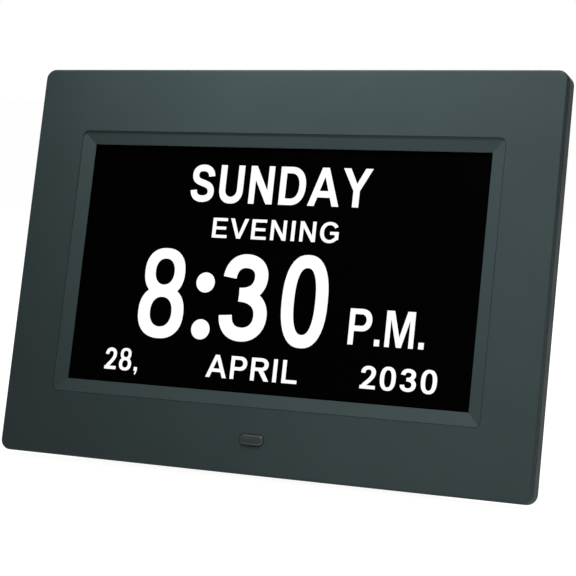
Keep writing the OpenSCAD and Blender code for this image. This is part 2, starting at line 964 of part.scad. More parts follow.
module plunger(i) {
    color("white")
        in_case()
            post(key_x(i), key_z, plunger_r, plunger_top - plunger_l, plunger_top);
}

module key_power() { key_cap(0); }
module key_menu() { key_cap(1); }
module key_left() { key_cap(2); }
module key_up() { key_cap(3); }
module key_down() { key_cap(4); }
module key_right() { key_cap(5); }
module key_exit() { key_cap(6); }

module plunger_power() { plunger(0); }
module plunger_menu() { plunger(1); }
module plunger_left() { plunger(2); }
module plunger_up() { plunger(3); }
module plunger_down() { plunger(4); }
module plunger_right() { plunger(5); }
module plunger_exit() { plunger(6); }

// ---- loudspeaker ----

module speaker_basket() {
    color([0.2, 0.2, 0.21])
        in_case()
            translate([speaker_x, 0, speaker_z])
                facing(speaker_back - speaker_depth)
                    rotate_extrude()
                        difference() {
                            union() {
                                square([magnet_r, 2.8]);
                                polygon([[0, 2.6], [magnet_r + 1, 2.6],
                                    [speaker_r - 1.6, speaker_depth - speaker_flange_t],
                                    [speaker_r - 1.6, speaker_depth], [0, speaker_depth]]);
                                translate([0, speaker_depth - speaker_flange_t])
                                    square([speaker_r, speaker_flange_t]);
                            }
                            polygon([[0, 3.6], [magnet_r, 3.6], [speaker_r - 2.6, speaker_depth - 0.8],
                                [speaker_r - 2.6, speaker_depth + cut], [0, speaker_depth + cut]]);
                        }
}

module speaker_cone() {
    color([0.08, 0.08, 0.08])
        in_case()
            translate([speaker_x, 0, speaker_z])
                facing(speaker_back - speaker_depth)
                    rotate_extrude()
                        polygon([[0, 3.7], [magnet_r - 3, 3.7], [speaker_r - 3.2, speaker_depth - 0.9],
                            [speaker_r - 2.7, speaker_depth - 0.7], [speaker_r - 2.7, speaker_depth - 0.3],
                            [speaker_r - 3.4, speaker_depth - 0.4], [magnet_r - 3.4, 4.3], [0, 4.3]]);
}

module speaker_gasket() {
    color([0.12, 0.12, 0.12])
        in_case()
            translate([speaker_x, 0, speaker_z])
                plate(speaker_back, box_back_inner)
                    difference() {
                        circle(r = speaker_r);
                        circle(r = speaker_r - 2.2);
                    }
}

module speaker_wires() {
    wire_t = 1;
    wires_w = 2;
    wire_back = speaker_back - speaker_depth;
    start = [speaker_x + 2, speaker_z + 3];
    lane_x = speaker_plug.x - speaker_plug_size.x / 2 - wires_w / 2;
    color("firebrick")
        in_case()
            plate(wire_back - wire_t, wire_back)
                flat_route([start, [lane_x, start.y], [lane_x, speaker_plug.y]], wires_w);
}

module speaker_screws() {
    color("silver")
        in_case()
            for (sz = [-1, 1])
                screw_from_front(speaker_x, speaker_z + sz * speaker_screw_out,
                    speaker_back - speaker_flange_t, board_screw_r, speaker_screw_l, speaker_head_r,
                    board_head_h);
}

// ---- rear cover ----

module rear_cover() {
    color(charcoal * 0.9)
        in_case()
            difference() {
                union() {
                    difference() {
                        shell_outside();
                        shell_inside();
                    }
                    stand_bay_walls();
                    cover_bosses();
                }
                stand_bay();
                cover_screw_holes();
                boss_holes();
                back_openings();
                side_openings();
                foot_seats();
            }
}

module shell_outside() {
    translate([0, 0, case_mid_z])
        facing(shell_front)
            soft_slab(case_w, case_h, case_r, rim_depth - shell_front, rim_edge_r);
    translate([0, 0, box_mid_z])
        facing(rim_inner)
            soft_slab(box_w, box_h, box_r, box_depth - rim_inner, box_edge_r);
}

module shell_inside() {
    translate([0, 0, case_mid_z])
        plate(shell_front - cut, rim_inner)
            rounded_rect(case_w - 2 * wall, case_h - 2 * wall, max(case_r - wall, 1));
    translate([0, 0, box_mid_z])
        plate(rim_inner - cut, box_back_inner)
            rounded_rect(box_w - 2 * wall, box_h - 2 * wall, box_r - wall);
}

// Walls and floor round the recess that takes the folded leg
module stand_bay_walls() {
    translate([-bay_w / 2, recess_floor - recess_wall, box_bottom + wall - 0.1])
        cube([bay_w, box_depth - recess_floor + recess_wall - box_edge_r, hinge_z - box_bottom - wall]);
    translate([-bay_w / 2, pocket_floor - recess_wall, pocket_bottom - recess_wall])
        cube([bay_w, box_back_inner + 0.5 - pocket_floor + recess_wall,
            pocket_top - pocket_bottom + 2 * recess_wall]);
    // bosses that hold the ends of the pin
    for (sx = [-1, 1])
        translate([sx * (recess_w / 2 + pin_boss_w / 2), hinge_y, hinge_z])
            rotate([0, 90, 0])
                cylinder(r = pin_boss_r, h = pin_boss_w, center = true);
}

module stand_bay() {
    translate([-recess_w / 2, recess_floor, box_bottom - cut])
        cube([recess_w, box_depth - recess_floor + cut, hinge_z - box_bottom + cut]);
    translate([-recess_w / 2, pocket_floor, pocket_bottom])
        cube([recess_w, box_depth - pocket_floor + cut, pocket_top - pocket_bottom]);
    translate([0, hinge_y, hinge_z])
        rotate([0, 90, 0])
            cylinder(r = pin_r + pin_seat_gap, h = recess_w + 2 * pin_boss_w + 2 * cut, center = true);
}

module cover_bosses() {
    for (at = board_screw_at)
        post(at.x, at.y, board_boss_r, board_back, box_back_inner + 0.5);
    for (sx = [-1, 1])
        post(sx * key_board_screw_x, key_z, board_boss_r, key_board_back, box_back_inner + 0.5);
    for (sz = [-1, 1])
        post(speaker_x, speaker_z + sz * speaker_screw_out, speaker_boss_r,
            speaker_back - speaker_flange_t, box_back_inner + 0.5);
}

module boss_holes() {
    hole_r = board_screw_r + screw_gap;
    for (at = board_screw_at)
        post(at.x, at.y, hole_r, board_back - cut, board_back + board_screw_l);
    for (sx = [-1, 1])
        post(sx * key_board_screw_x, key_z, hole_r, key_board_back - cut,
            key_board_front + key_board_screw_l + fit_gap);
    for (sz = [-1, 1])
        post(speaker_x, speaker_z + sz * speaker_screw_out, hole_r,
            speaker_back - speaker_flange_t - cut,
            speaker_back - speaker_flange_t + speaker_screw_l + 0.2);
}

module cover_screw_holes() {
    for (sx = [-1, 1], z = cover_screw_z) {
        post(sx * cover_screw_x, z, cover_hole_r, rim_inner - cut, rim_depth + cut);
        post(sx * cover_screw_x, z, cover_bore_r, cover_seat, rim_depth + cut);
    }
}

module back_openings() {
    // keys
    for (i = [0 : key_count - 1])
        translate([key_x(i), 0, key_z])
            plate(box_back_inner - cut, box_depth + cut)
                rounded_rect(key_w + 2 * slip_gap, key_h + 2 * slip_gap, 1.8);
    // keyholes
    for (sx = [-1, 1])
        translate([sx * keyhole_spacing / 2, 0, key_z])
            plate(box_back_inner - cut, box_depth + cut) {
                circle(r = keyhole_r);
                translate([0, keyhole_rise / 2])
                    square([2 * keyhole_slot_r, keyhole_rise], center = true);
                translate([0, keyhole_rise])
                    circle(r = keyhole_slot_r);
            }
    // loudspeaker grille: rings of round holes
    for (ring = [0 : grille_rings], i = [0 : max(ring * 6 - 1, 0)])
        grille_hole(ring, i);
    // cooling slots
    for (i = [0 : vent_count - 1])
        translate([vent_x, 0, vent_z + (i - (vent_count - 1) / 2) * vent_pitch])
            plate(box_back_inner - cut, box_depth + cut)
                rounded_rect(vent_l, vent_w, vent_w / 2 - 0.01);
    // shallow place for the label plate
    translate([label_x, 0, label_z])
        plate(box_depth - label_t, box_depth + cut)
            rounded_rect(label_w + 2 * slip_gap, label_h + 2 * slip_gap, 1.2);
}

module grille_hole(ring, i) {
    turn = ring == 0 ? 0 : i * 360 / (ring * 6);
    post(speaker_x + ring * grille_pitch * cos(turn), speaker_z + ring * grille_pitch * sin(turn),
        grille_hole_r, box_back_inner - cut, box_depth + cut);
}

module side_openings() {
    // round hole for the power plug, with the socket's nose in it
    translate([box_side_inner - cut, board_back - slip_gap, power_z - power_size.z / 2 - slip_gap])
        cube([wall + 2 * cut, power_size.y + 2 * slip_gap, power_size.z + 2 * slip_gap]);
    translate([box_side_inner - cut, board_back - slip_gap, usb_z - usb_size.z / 2 - slip_gap])
        cube([wall + 2 * cut, usb_size.y + 2 * slip_gap, usb_size.z + 2 * slip_gap]);
    translate([box_side_inner - cut, board_back - slip_gap, card_z - card_size.z / 2 - slip_gap])
        cube([wall + 2 * cut, card_size.y + 2 * slip_gap, card_size.z + 2 * slip_gap]);
}

module foot_seats() {
    for (sx = [-1, 1])
        translate([sx * foot_x - foot_l / 2 - screw_gap, foot_y[0] - screw_gap, box_bottom - cut])
            cube([foot_l + 2 * screw_gap, foot_y[1] - foot_y[0] + 2 * screw_gap, cut + foot_seat]);
}

module cover_screws() {
    color("silver")
        in_case()
            for (sx = [-1, 1], z = cover_screw_z)
                screw_from_back(sx * cover_screw_x, z, cover_seat, cover_screw_r, 4.2, cover_head_r,
                    cover_head_h);
}

// Everything above the surface
module above_surface() {
    translate([-case_w, -case_h, 0])
        cube([2 * case_w, 2 * case_h, 2 * case_h]);
}

module rubber_feet() {
    color([0.06, 0.06, 0.06])
        intersection() {
            in_case()
                for (sx = [-1, 1])
                    translate([sx * foot_x - foot_l / 2, foot_y[0], box_bottom + foot_seat - 5])
                        cube([foot_l, foot_y[1] - foot_y[0], 5]);
            above_surface();
        }
}

module label_plate() {
    color([0.3, 0.32, 0.33])
        in_case()
            translate([label_x, 0, label_z])
                plate(box_depth - label_t, box_depth - 0.1)
                    rounded_rect(label_w, label_h, 1);
}

// ---- stand ----

// The leg's own frame: pin axis at zero, leg hanging down, its back towards +Y
module in_leg() {
    in_case()
        translate([0, hinge_y, hinge_z])
            rotate([leg_open, 0, 0])
                children();
}

module stand_leg() {
    plate_end = leg_l - pad_l + 2;
    color(charcoal)
        in_leg()
            difference() {
                union() {
                    translate([0, 0, -plate_end / 2 + heel_l / 2])
                        facing(leg_gap)
                            linear_extrude(leg_t)
                                rounded_rect(leg_w, plate_end + heel_l, 2);
                    rotate([0, 90, 0])
                        cylinder(r = barrel_r, h = leg_w, center = true);
                }
                // hollow on the leg's inner side, between its ribs
                for (sx = [-1, 1])
                    translate([sx * (leg_w / 4 - 0.5), 0, -plate_end / 2 - 3])
                        plate(leg_gap - cut, leg_gap + leg_t - 1.4)
                            rounded_rect(leg_w / 2 - leg_relief_side, plate_end - leg_relief_ends, 2);
                rotate([0, 90, 0])
                    cylinder(r = pin_r + pin_gap, h = leg_w + 2 * cut, center = true);
            }
}

module stand_pin() {
    color("silver")
        in_case()
            translate([0, hinge_y, hinge_z])
                rotate([0, 90, 0])
                    cylinder(r = pin_r, h = pin_l, center = true);
}

module stand_pad() {
    plate_end = leg_l - pad_l + 2;
    color([0.06, 0.06, 0.06])
        intersection() {
            in_leg()
                translate([-pad_w / 2, leg_gap, -plate_end - pad_l])
                    cube([pad_w, leg_t, pad_l]);
            above_surface();
        }
}

front_bezel();
ir_window();
ir_board();
ir_receiver();
ir_board_screws();
ir_cable();
lcd_gasket();
lcd_frame();
lcd_glass();
lcd_light_guide();
lcd_back_plate();
lcd_brackets();
lcd_bracket_screws();
lcd_ribbon();
main_board();
processor_chip();
memory_chips();
capacitors();
clock_crystal();
coin_cell_holder();
coin_cell();
ribbon_sockets();
power_socket();
power_socket_pin();
usb_socket();
usb_tongue();
card_slot();
main_board_screws();
key_board();
key_switches();
key_ribbon();
key_board_screws();
speaker_basket();
speaker_cone();
speaker_gasket();
speaker_wires();
speaker_screws();
rear_cover();
cover_screws();
rubber_feet();
label_plate();
stand_leg();
stand_pin();
stand_pad();
key_power();
key_menu();
key_left();
key_up();
key_down();
key_right();
key_exit();
plunger_power();
plunger_menu();
plunger_left();
plunger_up();
plunger_down();
plunger_right();
plunger_exit();
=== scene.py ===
# %% [markdown]
# # Dressing a day clock
# The clock stands in front of us: a wide charcoal front with a deep border, a black screen
# that shows the day, the part of the day, the time and the date in white, and a slim leg behind.
# Its solid parts come from the construction model. This lesson gives each of them its real finish,
# adds what the construction leaves plain, and lights the whole like a product photograph.

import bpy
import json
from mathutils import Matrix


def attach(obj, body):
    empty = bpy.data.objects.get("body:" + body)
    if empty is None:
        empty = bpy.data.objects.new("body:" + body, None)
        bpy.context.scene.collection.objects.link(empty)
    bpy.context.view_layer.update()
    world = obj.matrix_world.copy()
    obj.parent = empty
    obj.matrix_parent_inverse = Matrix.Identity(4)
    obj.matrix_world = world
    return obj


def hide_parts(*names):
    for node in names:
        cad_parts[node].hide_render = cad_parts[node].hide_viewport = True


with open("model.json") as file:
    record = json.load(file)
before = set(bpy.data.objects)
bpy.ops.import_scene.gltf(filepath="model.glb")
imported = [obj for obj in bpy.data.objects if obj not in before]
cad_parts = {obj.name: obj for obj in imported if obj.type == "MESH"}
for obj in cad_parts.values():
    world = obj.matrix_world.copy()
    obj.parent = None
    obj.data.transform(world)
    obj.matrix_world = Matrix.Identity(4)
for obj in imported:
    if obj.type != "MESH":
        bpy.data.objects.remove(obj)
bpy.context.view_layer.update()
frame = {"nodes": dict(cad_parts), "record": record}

# %% [markdown]
# ## A ruler on the leant-back face
# The clock leans back on its leg, so "up" on its face isn't straight up in the room. Everything
# that belongs to the face is easier to place with three directions of its own: right, up the face
# and to the back. The wall keyholes' axis in the record points straight out of the back, which
# gives the lean exactly, and the front's own corner points say where the face starts.

# %% Directions and places on the face
import json
import math

import bmesh
import bpy
from mathutils import Matrix, Vector
from mathutils.geometry import delaunay_2d_cdt

MM = 0.001
record = frame["record"]
mounts = {mount["name"]: mount for mount in record["mounts"]}
joints = {joint["name"]: joint for joint in record["behaviour"]["joints"]}

to_right = Vector((1, 0, 0))
to_back = Vector(mounts["wall_keyholes"]["axis"]).normalized()
up_face = Vector((0, -to_back.z, to_back.y))


def reach(node, direction):
    """How near and how far a CAD node's mesh lies along a direction, in metres."""
    solid = frame["nodes"][node]
    along = [(solid.matrix_world @ vertex.co).dot(direction) for vertex in solid.data.vertices]
    return min(along), max(along)


face_depth = reach("front_bezel", to_back)[0]
face_bottom, face_top = reach("front_bezel", up_face)


def spot(right, up, depth):
    """A point of the clock, in millimetres right of the middle, up the face and behind the face."""
    return to_right * right * MM + up_face * (face_bottom + up * MM) + to_back * (face_depth + depth * MM)


def depth_of(metres):
    """Turns a distance along to_back into millimetres behind the face."""
    return (metres - face_depth) / MM


print("Lean:", round(math.degrees(math.asin(-to_back.z)), 2), "degrees")
print("Face height:", round((face_top - face_bottom) / MM, 1), "mm")

# %% [markdown]
# ## The camera
# The clock was photographed with a long lens from its right-hand side and a little above. A long
# lens keeps the front's edges nearly parallel. We aim at a point just right of the middle of the
# face and step back from it, so the clock fills the square picture as it does in the photograph.

# %% Place the camera
CAMERA_LENS = 101.7
CAMERA_DISTANCE = 0.5755
CAMERA_AZIMUTH = math.radians(23.37)
CAMERA_ELEVATION = math.radians(7.7)
AIM_RIGHT = 8.15
AIM_UP = 66.87

scene = bpy.context.scene
aim = spot(AIM_RIGHT, AIM_UP, 0)
to_camera = Vector((
    math.sin(CAMERA_AZIMUTH) * math.cos(CAMERA_ELEVATION),
    -math.cos(CAMERA_AZIMUTH) * math.cos(CAMERA_ELEVATION),
    math.sin(CAMERA_ELEVATION),
))
camera_data = bpy.data.cameras.new("photo_camera")
camera_data.lens = CAMERA_LENS
camera_data.sensor_width = 36
camera_data.clip_start = 0.02
camera = bpy.data.objects.new("photo_camera", camera_data)
camera.location = aim + to_camera * CAMERA_DISTANCE
camera.rotation_euler = (-to_camera).to_track_quat("-Z", "Y").to_euler()
scene.collection.objects.link(camera)
scene.camera = camera
scene.view_settings.view_transform = "Standard"
print("Camera at", tuple(round(value, 3) for value in camera.location))

# %% [markdown]
# ## The room
# A product photograph on white has a white surface all round and soft lamps. The world is white
# where the camera looks straight at it. In reflections only its ceiling is bright, while its walls
# are dim and almost black on the camera's side. The light that it spreads on matt skins comes from
# behind the clock, so in front the lamps do the modelling.

# %% Build the world
AMBIENT_FRONT = 0.02
AMBIENT_BACK = 0.4
MIRRORED_FRONT = 0.05
MIRRORED_BACK = 0.2
MIRRORED_CEILING = 0.9

# Between these directions, on a scale from -1 to 1, the front wall turns into the back wall and the
# walls turn into the ceiling
WALL_START, WALL_END = -0.15, 0.6
CEILING_START, CEILING_END = 0.6, 0.9


def add_node(tree, kind, **settings):
    """Adds a shader node and sets its input values by name."""
    node = tree.nodes.new(kind)
    for name, value in settings.items():
        node.inputs[name.replace("_", " ")].default_value = value
    return node


def mix_numbers(tree, factor, low, high):
    """A node that goes from low to high with factor. Each may be a number or an output."""
    node = tree.nodes.new("ShaderNodeMix")
    for socket, value in ((node.inputs[0], factor), (node.inputs[2], low), (node.inputs[3], high)):
        if isinstance(value, (int, float)):
            socket.default_value = value
        else:
            tree.links.new(value, socket)
    return node.outputs[0]


def add_numbers(tree, *values):
    """The sum of some outputs, held at 1 or less."""
    total = values[0]
    for value in values[1:]:
        node = tree.nodes.new("ShaderNodeMath")
        node.operation = "ADD"
        node.use_clamp = True
        tree.links.new(total, node.inputs[0])
        tree.links.new(value, node.inputs[1])
        total = node.outputs[0]
    return total


def build_world():
    world = bpy.data.worlds.new("studio_world")
    world.use_nodes = True
    tree = world.node_tree
    background = tree.nodes["Background"]
    background.inputs["Color"].default_value = (1, 1, 1, 1)
    coordinates = tree.nodes.new("ShaderNodeTexCoord")
    axes = tree.nodes.new("ShaderNodeSeparateXYZ")
    tree.links.new(coordinates.outputs["Generated"], axes.inputs[0])
    walls = {}
    levels = {"diffuse": (AMBIENT_FRONT, AMBIENT_BACK), "mirrored": (MIRRORED_FRONT, MIRRORED_BACK)}
    for use, (front, back) in levels.items():
        walls[use] = add_node(tree, "ShaderNodeMapRange", From_Min=WALL_START, From_Max=WALL_END,
            To_Min=front, To_Max=back)
        tree.links.new(axes.outputs["Y"], walls[use].inputs["Value"])
    ceiling = add_node(tree, "ShaderNodeMapRange", From_Min=CEILING_START, From_Max=CEILING_END,
        To_Max=MIRRORED_CEILING)
    tree.links.new(axes.outputs["Z"], ceiling.inputs["Value"])
    surroundings = add_numbers(tree, walls["mirrored"].outputs[0], ceiling.outputs[0])
    ray = tree.nodes.new("ShaderNodeLightPath")
    mirrored = add_numbers(tree, ray.outputs["Is Glossy Ray"], ray.outputs["Is Transmission Ray"])
    lit = mix_numbers(tree, mirrored, walls["diffuse"].outputs[0], surroundings)
    shown = mix_numbers(tree, ray.outputs["Is Camera Ray"], lit, 1.0)
    tree.links.new(shown, background.inputs["Strength"])
    return world


scene.world = build_world()
print("World:", scene.world.name)

# %% [markdown]
# ## Lamps
# In the photograph the upper part of the front is more than three times as bright as its lower
# left corner. A small key lamp fairly near the face, above its upper left edge, gives that by
# distance alone. A weaker low lamp on the right lifts the lower right corner and the clock's right
# side. The back lamp is for the views from behind. The camera doesn't see the lamps themselves.
# The key and the low lamp aren't mirrored either, as if seen through a polarising filter:
# otherwise their glare would cover the front. A far edge lamp, which only shows in reflections,
# draws the highlights along the edges instead.

# %% Hang the lamps
def add_lamp(name, place, target, size, watts, seen_by=("diffuse", "glossy")):
    """A square soft box at place that faces target. It lights matt skins, glossy skins or both."""
    data = bpy.data.lights.new(name, "AREA")
    data.size = size
    data.energy = watts
    lamp = bpy.data.objects.new(name, data)
    lamp.location = place
    lamp.rotation_euler = (target - place).to_track_quat("-Z", "Y").to_euler()
    lamp.visible_camera = False
    lamp.visible_diffuse = "diffuse" in seen_by
    lamp.visible_glossy = "glossy" in seen_by
    scene.collection.objects.link(lamp)


add_lamp("key_lamp", spot(-27, 273, -109), spot(100, 60, 0), 0.03, 0.66, seen_by=("diffuse",))
add_lamp("low_lamp", spot(150, 66, -220), spot(50, 0, 0), 0.06, 0.3, seen_by=("diffuse",))
add_lamp("edge_lamp", spot(110, 350, -260), spot(40, 60, 0), 0.1, 0.8, seen_by=("glossy",))
add_lamp("back_lamp", Vector((0.1, 0.62, 0.5)), spot(0, 73, 0), 0.4, 5.0)

# %% [markdown]
# ## The floor
# The clock stands on a plain pale sheet. It has to be as white as the background and still keep
# the soft dark contact under the clock. So it shines by itself, just short of white, and the light
# that falls on it makes up the rest. Where the clock keeps that light away, it stays darker.

# %% Lay the floor
FLOOR_GLOW = 0.95
FLOOR_HALF_SIZE = 6


def floor_finish():
    finish = bpy.data.materials.new("pale_floor")
    finish.use_nodes = True
    tree = finish.node_tree
    shader = tree.nodes["Principled BSDF"]
    shader.inputs["Base Color"].default_value = (0.25, 0.25, 0.25, 1)
    shader.inputs["Roughness"].default_value = 0.9
    shader.inputs["Specular IOR Level"].default_value = 0.0
    glow = add_node(tree, "ShaderNodeEmission", Color=(1, 1, 1, 1))
    ray = tree.nodes.new("ShaderNodeLightPath")
    seen = add_numbers(tree, ray.outputs["Is Camera Ray"], ray.outputs["Is Glossy Ray"],
        ray.outputs["Is Transmission Ray"])
    strength = mix_numbers(tree, seen, 0.0, FLOOR_GLOW)
    tree.links.new(strength, glow.inputs["Strength"])
    both = tree.nodes.new("ShaderNodeAddShader")
    tree.links.new(shader.outputs[0], both.inputs[0])
    tree.links.new(glow.outputs[0], both.inputs[1])
    tree.links.new(both.outputs[0], tree.nodes["Material Output"].inputs["Surface"])
    return finish


def lay_floor(half_size):
    mesh = bpy.data.meshes.new("floor")
    corners = [(-half_size, -half_size, 0), (half_size, -half_size, 0)]
    corners += [(half_size, half_size, 0), (-half_size, half_size, 0)]
    mesh.from_pydata(corners, [], [(0, 1, 2, 3)])
    mesh.materials.append(floor_finish())
    floor = bpy.data.objects.new("floor", mesh)
    scene.collection.objects.link(floor)
    return floor


print("Laid:", lay_floor(FLOOR_HALF_SIZE).name)

# %% [markdown]
# ## What a moulded plastic looks like
# A case like this is injection moulded in a tool whose surface is slightly rough. That gives a
# satin skin: a fine grain that breaks up reflections, colour that drifts a little over the part,
# and gloss that isn't quite even where hands have been. Three layers of noise make these. The
# edges of a real moulding are never razor sharp, so a Bevel node rounds them for the light only.

# %% Plastic
def new_finish(name):
    """A node material with its shader, ready to be dressed."""
    finish = bpy.data.materials.new(name)
    finish.use_nodes = True
    return finish, finish.node_tree, finish.node_tree.nodes["Principled BSDF"]


def noise(tree, grain_mm, detail=2.0, stretch=(1, 1, 1)):
    """A noise whose lumps are about grain_mm across, in the object's own space."""
    coordinates = tree.nodes.new("ShaderNodeTexCoord")
    mapping = add_node(tree, "ShaderNodeMapping", Scale=stretch)
    tree.links.new(coordinates.outputs["Object"], mapping.inputs["Vector"])
    texture = add_node(tree, "ShaderNodeTexNoise", Scale=1 / (grain_mm * MM), Detail=detail)
    tree.links.new(mapping.outputs[0], texture.inputs["Vector"])
    return texture.outputs[0]


def drift(tree, socket, value, low, high):
    """Lets a number on the shader wander between low and high with a noise."""
    spread = add_node(tree, "ShaderNodeMapRange", From_Min=0.3, From_Max=0.7, To_Min=low, To_Max=high)
    tree.links.new(value, spread.inputs["Value"])
    tree.links.new(spread.outputs[0], socket)


def tint(tree, socket, value, colour, spread):
    """Lets the shader's colour wander by a share of itself with a noise."""
    node = tree.nodes.new("ShaderNodeMix")
    node.data_type = "RGBA"
    node.inputs[6].default_value = (*[part * (1 - spread) for part in colour], 1)
    node.inputs[7].default_value = (*[part * (1 + spread) for part in colour], 1)
    tree.links.new(value, node.inputs[0])
    tree.links.new(node.outputs[2], socket)


def relief(tree, shader, value, height_mm, edge_mm=0.0):
    """Raises the surface by a noise, and rounds the edges for the light."""
    bump = add_node(tree, "ShaderNodeBump", Strength=1.0, Distance=height_mm * MM)
    tree.links.new(value, bump.inputs["Height"])
    if edge_mm:
        bevel = add_node(tree, "ShaderNodeBevel", Radius=edge_mm * MM)
        bevel.samples = 6
        tree.links.new(bevel.outputs[0], bump.inputs["Normal"])
    tree.links.new(bump.outputs[0], shader.inputs["Normal"])


def moulded_plastic(name, colour, rough, grain_mm, height_mm, edge_mm=0.0, shine=0.5):
    """A satin plastic with a grain of some size and height, and edges rounded by edge_mm."""
    finish, tree, shader = new_finish(name)
    tint(tree, shader.inputs["Base Color"], noise(tree, 26, 3), colour, 0.10)
    drift(tree, shader.inputs["Roughness"], noise(tree, 9, 4), rough - 0.03, rough + 0.04)
    shader.inputs["Specular IOR Level"].default_value = shine
    relief(tree, shader, noise(tree, grain_mm, 3), height_mm, edge_mm)
    return finish


finishes = {
    "front_plastic": moulded_plastic("front_plastic", (0.040, 0.057, 0.059), 0.5, 0.35, 0.008, 0.25, 0.16),
    "rear_plastic": moulded_plastic("rear_plastic", (0.036, 0.048, 0.050), 0.6, 0.6, 0.03, 0.25, 0.12),
    "key_plastic": moulded_plastic("key_plastic", (0.032, 0.042, 0.044), 0.38, 0.3, 0.006, 0.15),
    "label_plastic": moulded_plastic("label_plastic", (0.075, 0.085, 0.088), 0.5, 0.2, 0.003),
    "chip_black": moulded_plastic("chip_black", (0.018, 0.018, 0.019), 0.6, 0.25, 0.01),
    "socket_white": moulded_plastic("socket_white", (0.74, 0.72, 0.66), 0.45, 0.4, 0.005),
}
print("Plastics:", list(finishes))

# %% [markdown]
# ## Rubber, foam and paper
# Feet are solid rubber with a dull, slightly dusty skin. The gaskets are open foam, which is all
# small pits. The loudspeaker's cone is pressed paper. All three are rough and dark, and differ in
# the size and depth of their grain. The cables' skins are made the same way, only smoother.

# %% Soft materials
def dull_soft(name, colour, rough, grain_mm, height_mm, sheen=0.0):
    """Rubber, foam, paper or a cable's skin, which differ in grain and in sheen."""
    finish, tree, shader = new_finish(name)
    tint(tree, shader.inputs["Base Color"], noise(tree, grain_mm * 4, 4), colour, 0.12)
    drift(tree, shader.inputs["Roughness"], noise(tree, 3, 2), rough - 0.05, rough + 0.05)
    shader.inputs["Specular IOR Level"].default_value = 0.3
    shader.inputs["Sheen Weight"].default_value = sheen
    relief(tree, shader, noise(tree, grain_mm, 5), height_mm)
    return finish


finishes["foot_rubber"] = dull_soft("foot_rubber", (0.016, 0.016, 0.017), 0.8, 0.3, 0.02, 0.05)
finishes["foam"] = dull_soft("foam", (0.02, 0.02, 0.02), 0.95, 0.5, 0.15)
finishes["cone_paper"] = dull_soft("cone_paper", (0.035, 0.034, 0.032), 0.9, 0.25, 0.04, 0.1)
finishes["cable_grey"] = dull_soft("cable_grey", (0.18, 0.18, 0.19), 0.6, 0.8, 0.02)
finishes["cable_red"] = dull_soft("cable_red", (0.36, 0.02, 0.02), 0.55, 0.8, 0.02)
print("Soft finishes added")

# %% [markdown]
# ## Metals
# Sheet steel is rolled, so its grain runs one way: a noise stretched 25 times along the sheet.
# Screws are turned and plated and look even, with small marks. Cans are drawn aluminium.

# %% Metals
def metal(name, colour, rough, grain_mm, stretch, height_mm, metallic=1.0):
    """A metal whose fine marks are stretched along a direction and change its gloss."""
    finish, tree, shader = new_finish(name)
    shader.inputs["Metallic"].default_value = metallic
    marks = noise(tree, grain_mm, 4, stretch)
    tint(tree, shader.inputs["Base Color"], noise(tree, 6, 2), colour, 0.05)
    drift(tree, shader.inputs["Roughness"], marks, rough - 0.07, rough + 0.09)
    relief(tree, shader, marks, height_mm)
    return finish


ROLLED = (0.04, 1, 1)
EVEN = (1, 1, 1)
finishes["sheet_steel"] = metal("sheet_steel", (0.60, 0.60, 0.61), 0.34, 0.15, ROLLED, 0.003)
finishes["screw_steel"] = metal("screw_steel", (0.66, 0.66, 0.67), 0.27, 0.4, EVEN, 0.004)
finishes["black_screw_steel"] = metal("black_screw_steel", (0.035, 0.035, 0.038), 0.38, 0.4, EVEN, 0.005,
    metallic=0.8)
finishes["can_aluminium"] = metal("can_aluminium", (0.72, 0.72, 0.73), 0.25, 0.3, EVEN, 0.002)
finishes["pin_brass"] = metal("pin_brass", (0.72, 0.60, 0.38), 0.24, 0.3, EVEN, 0.002)
finishes["speaker_black"] = metal("speaker_black", (0.04, 0.04, 0.043), 0.45, 0.5, EVEN, 0.01,
    metallic=0.4)
print("Metals added")

# %% [markdown]
# ## Circuit boards and ribbons
# A circuit board is green lacquer over copper, and the tracks show through as slightly lighter,
# raised lines. A brick pattern with long thin bricks gives lines that run mostly one way with
# short steps between them. A ribbon is clear film over straight conductors: a wave of even bands.

# %% Boards and ribbons
TRACK_SCALE = 90.0
TRACK_GAP = 0.03
TRACK_HEIGHT = 0.03
WAVE_LENGTH = 0.314  # a wave texture of scale 1 repeats its band after so many units


def circuit_board(name):
    finish, tree, shader = new_finish(name)
    coordinates = tree.nodes.new("ShaderNodeTexCoord")
    turned = add_node(tree, "ShaderNodeMapping", Rotation=(math.pi / 2, 0, 0))
    tree.links.new(coordinates.outputs["Object"], turned.inputs["Vector"])
    tracks = add_node(tree, "ShaderNodeTexBrick", Scale=TRACK_SCALE, Color1=(0.008, 0.10, 0.04, 1),
        Color2=(0.010, 0.12, 0.05, 1), Mortar=(0.03, 0.22, 0.10, 1))
    tracks.inputs["Mortar Size"].default_value = TRACK_GAP
    tree.links.new(turned.outputs[0], tracks.inputs["Vector"])
    tree.links.new(tracks.outputs["Color"], shader.inputs["Base Color"])
    drift(tree, shader.inputs["Roughness"], noise(tree, 5, 2), 0.28, 0.36)
    relief(tree, shader, tracks.outputs["Fac"], -TRACK_HEIGHT)
    return finish


def ribbon_film(name, film, conductor, pitch_mm):
    finish, tree, shader = new_finish(name)
    coordinates = tree.nodes.new("ShaderNodeTexCoord")
    bands = add_node(tree, "ShaderNodeTexWave", Scale=WAVE_LENGTH / (pitch_mm * MM))
    tree.links.new(coordinates.outputs["Object"], bands.inputs["Vector"])
    blend = tree.nodes.new("ShaderNodeMix")
    blend.data_type = "RGBA"
    blend.inputs[6].default_value = (*film, 1)
    blend.inputs[7].default_value = (*conductor, 1)
    tree.links.new(bands.outputs["Fac"], blend.inputs[0])
    tree.links.new(blend.outputs[2], shader.inputs["Base Color"])
    drift(tree, shader.inputs["Roughness"], noise(tree, 4, 2), 0.2, 0.3)
    relief(tree, shader, bands.outputs["Fac"], 0.02)
    return finish


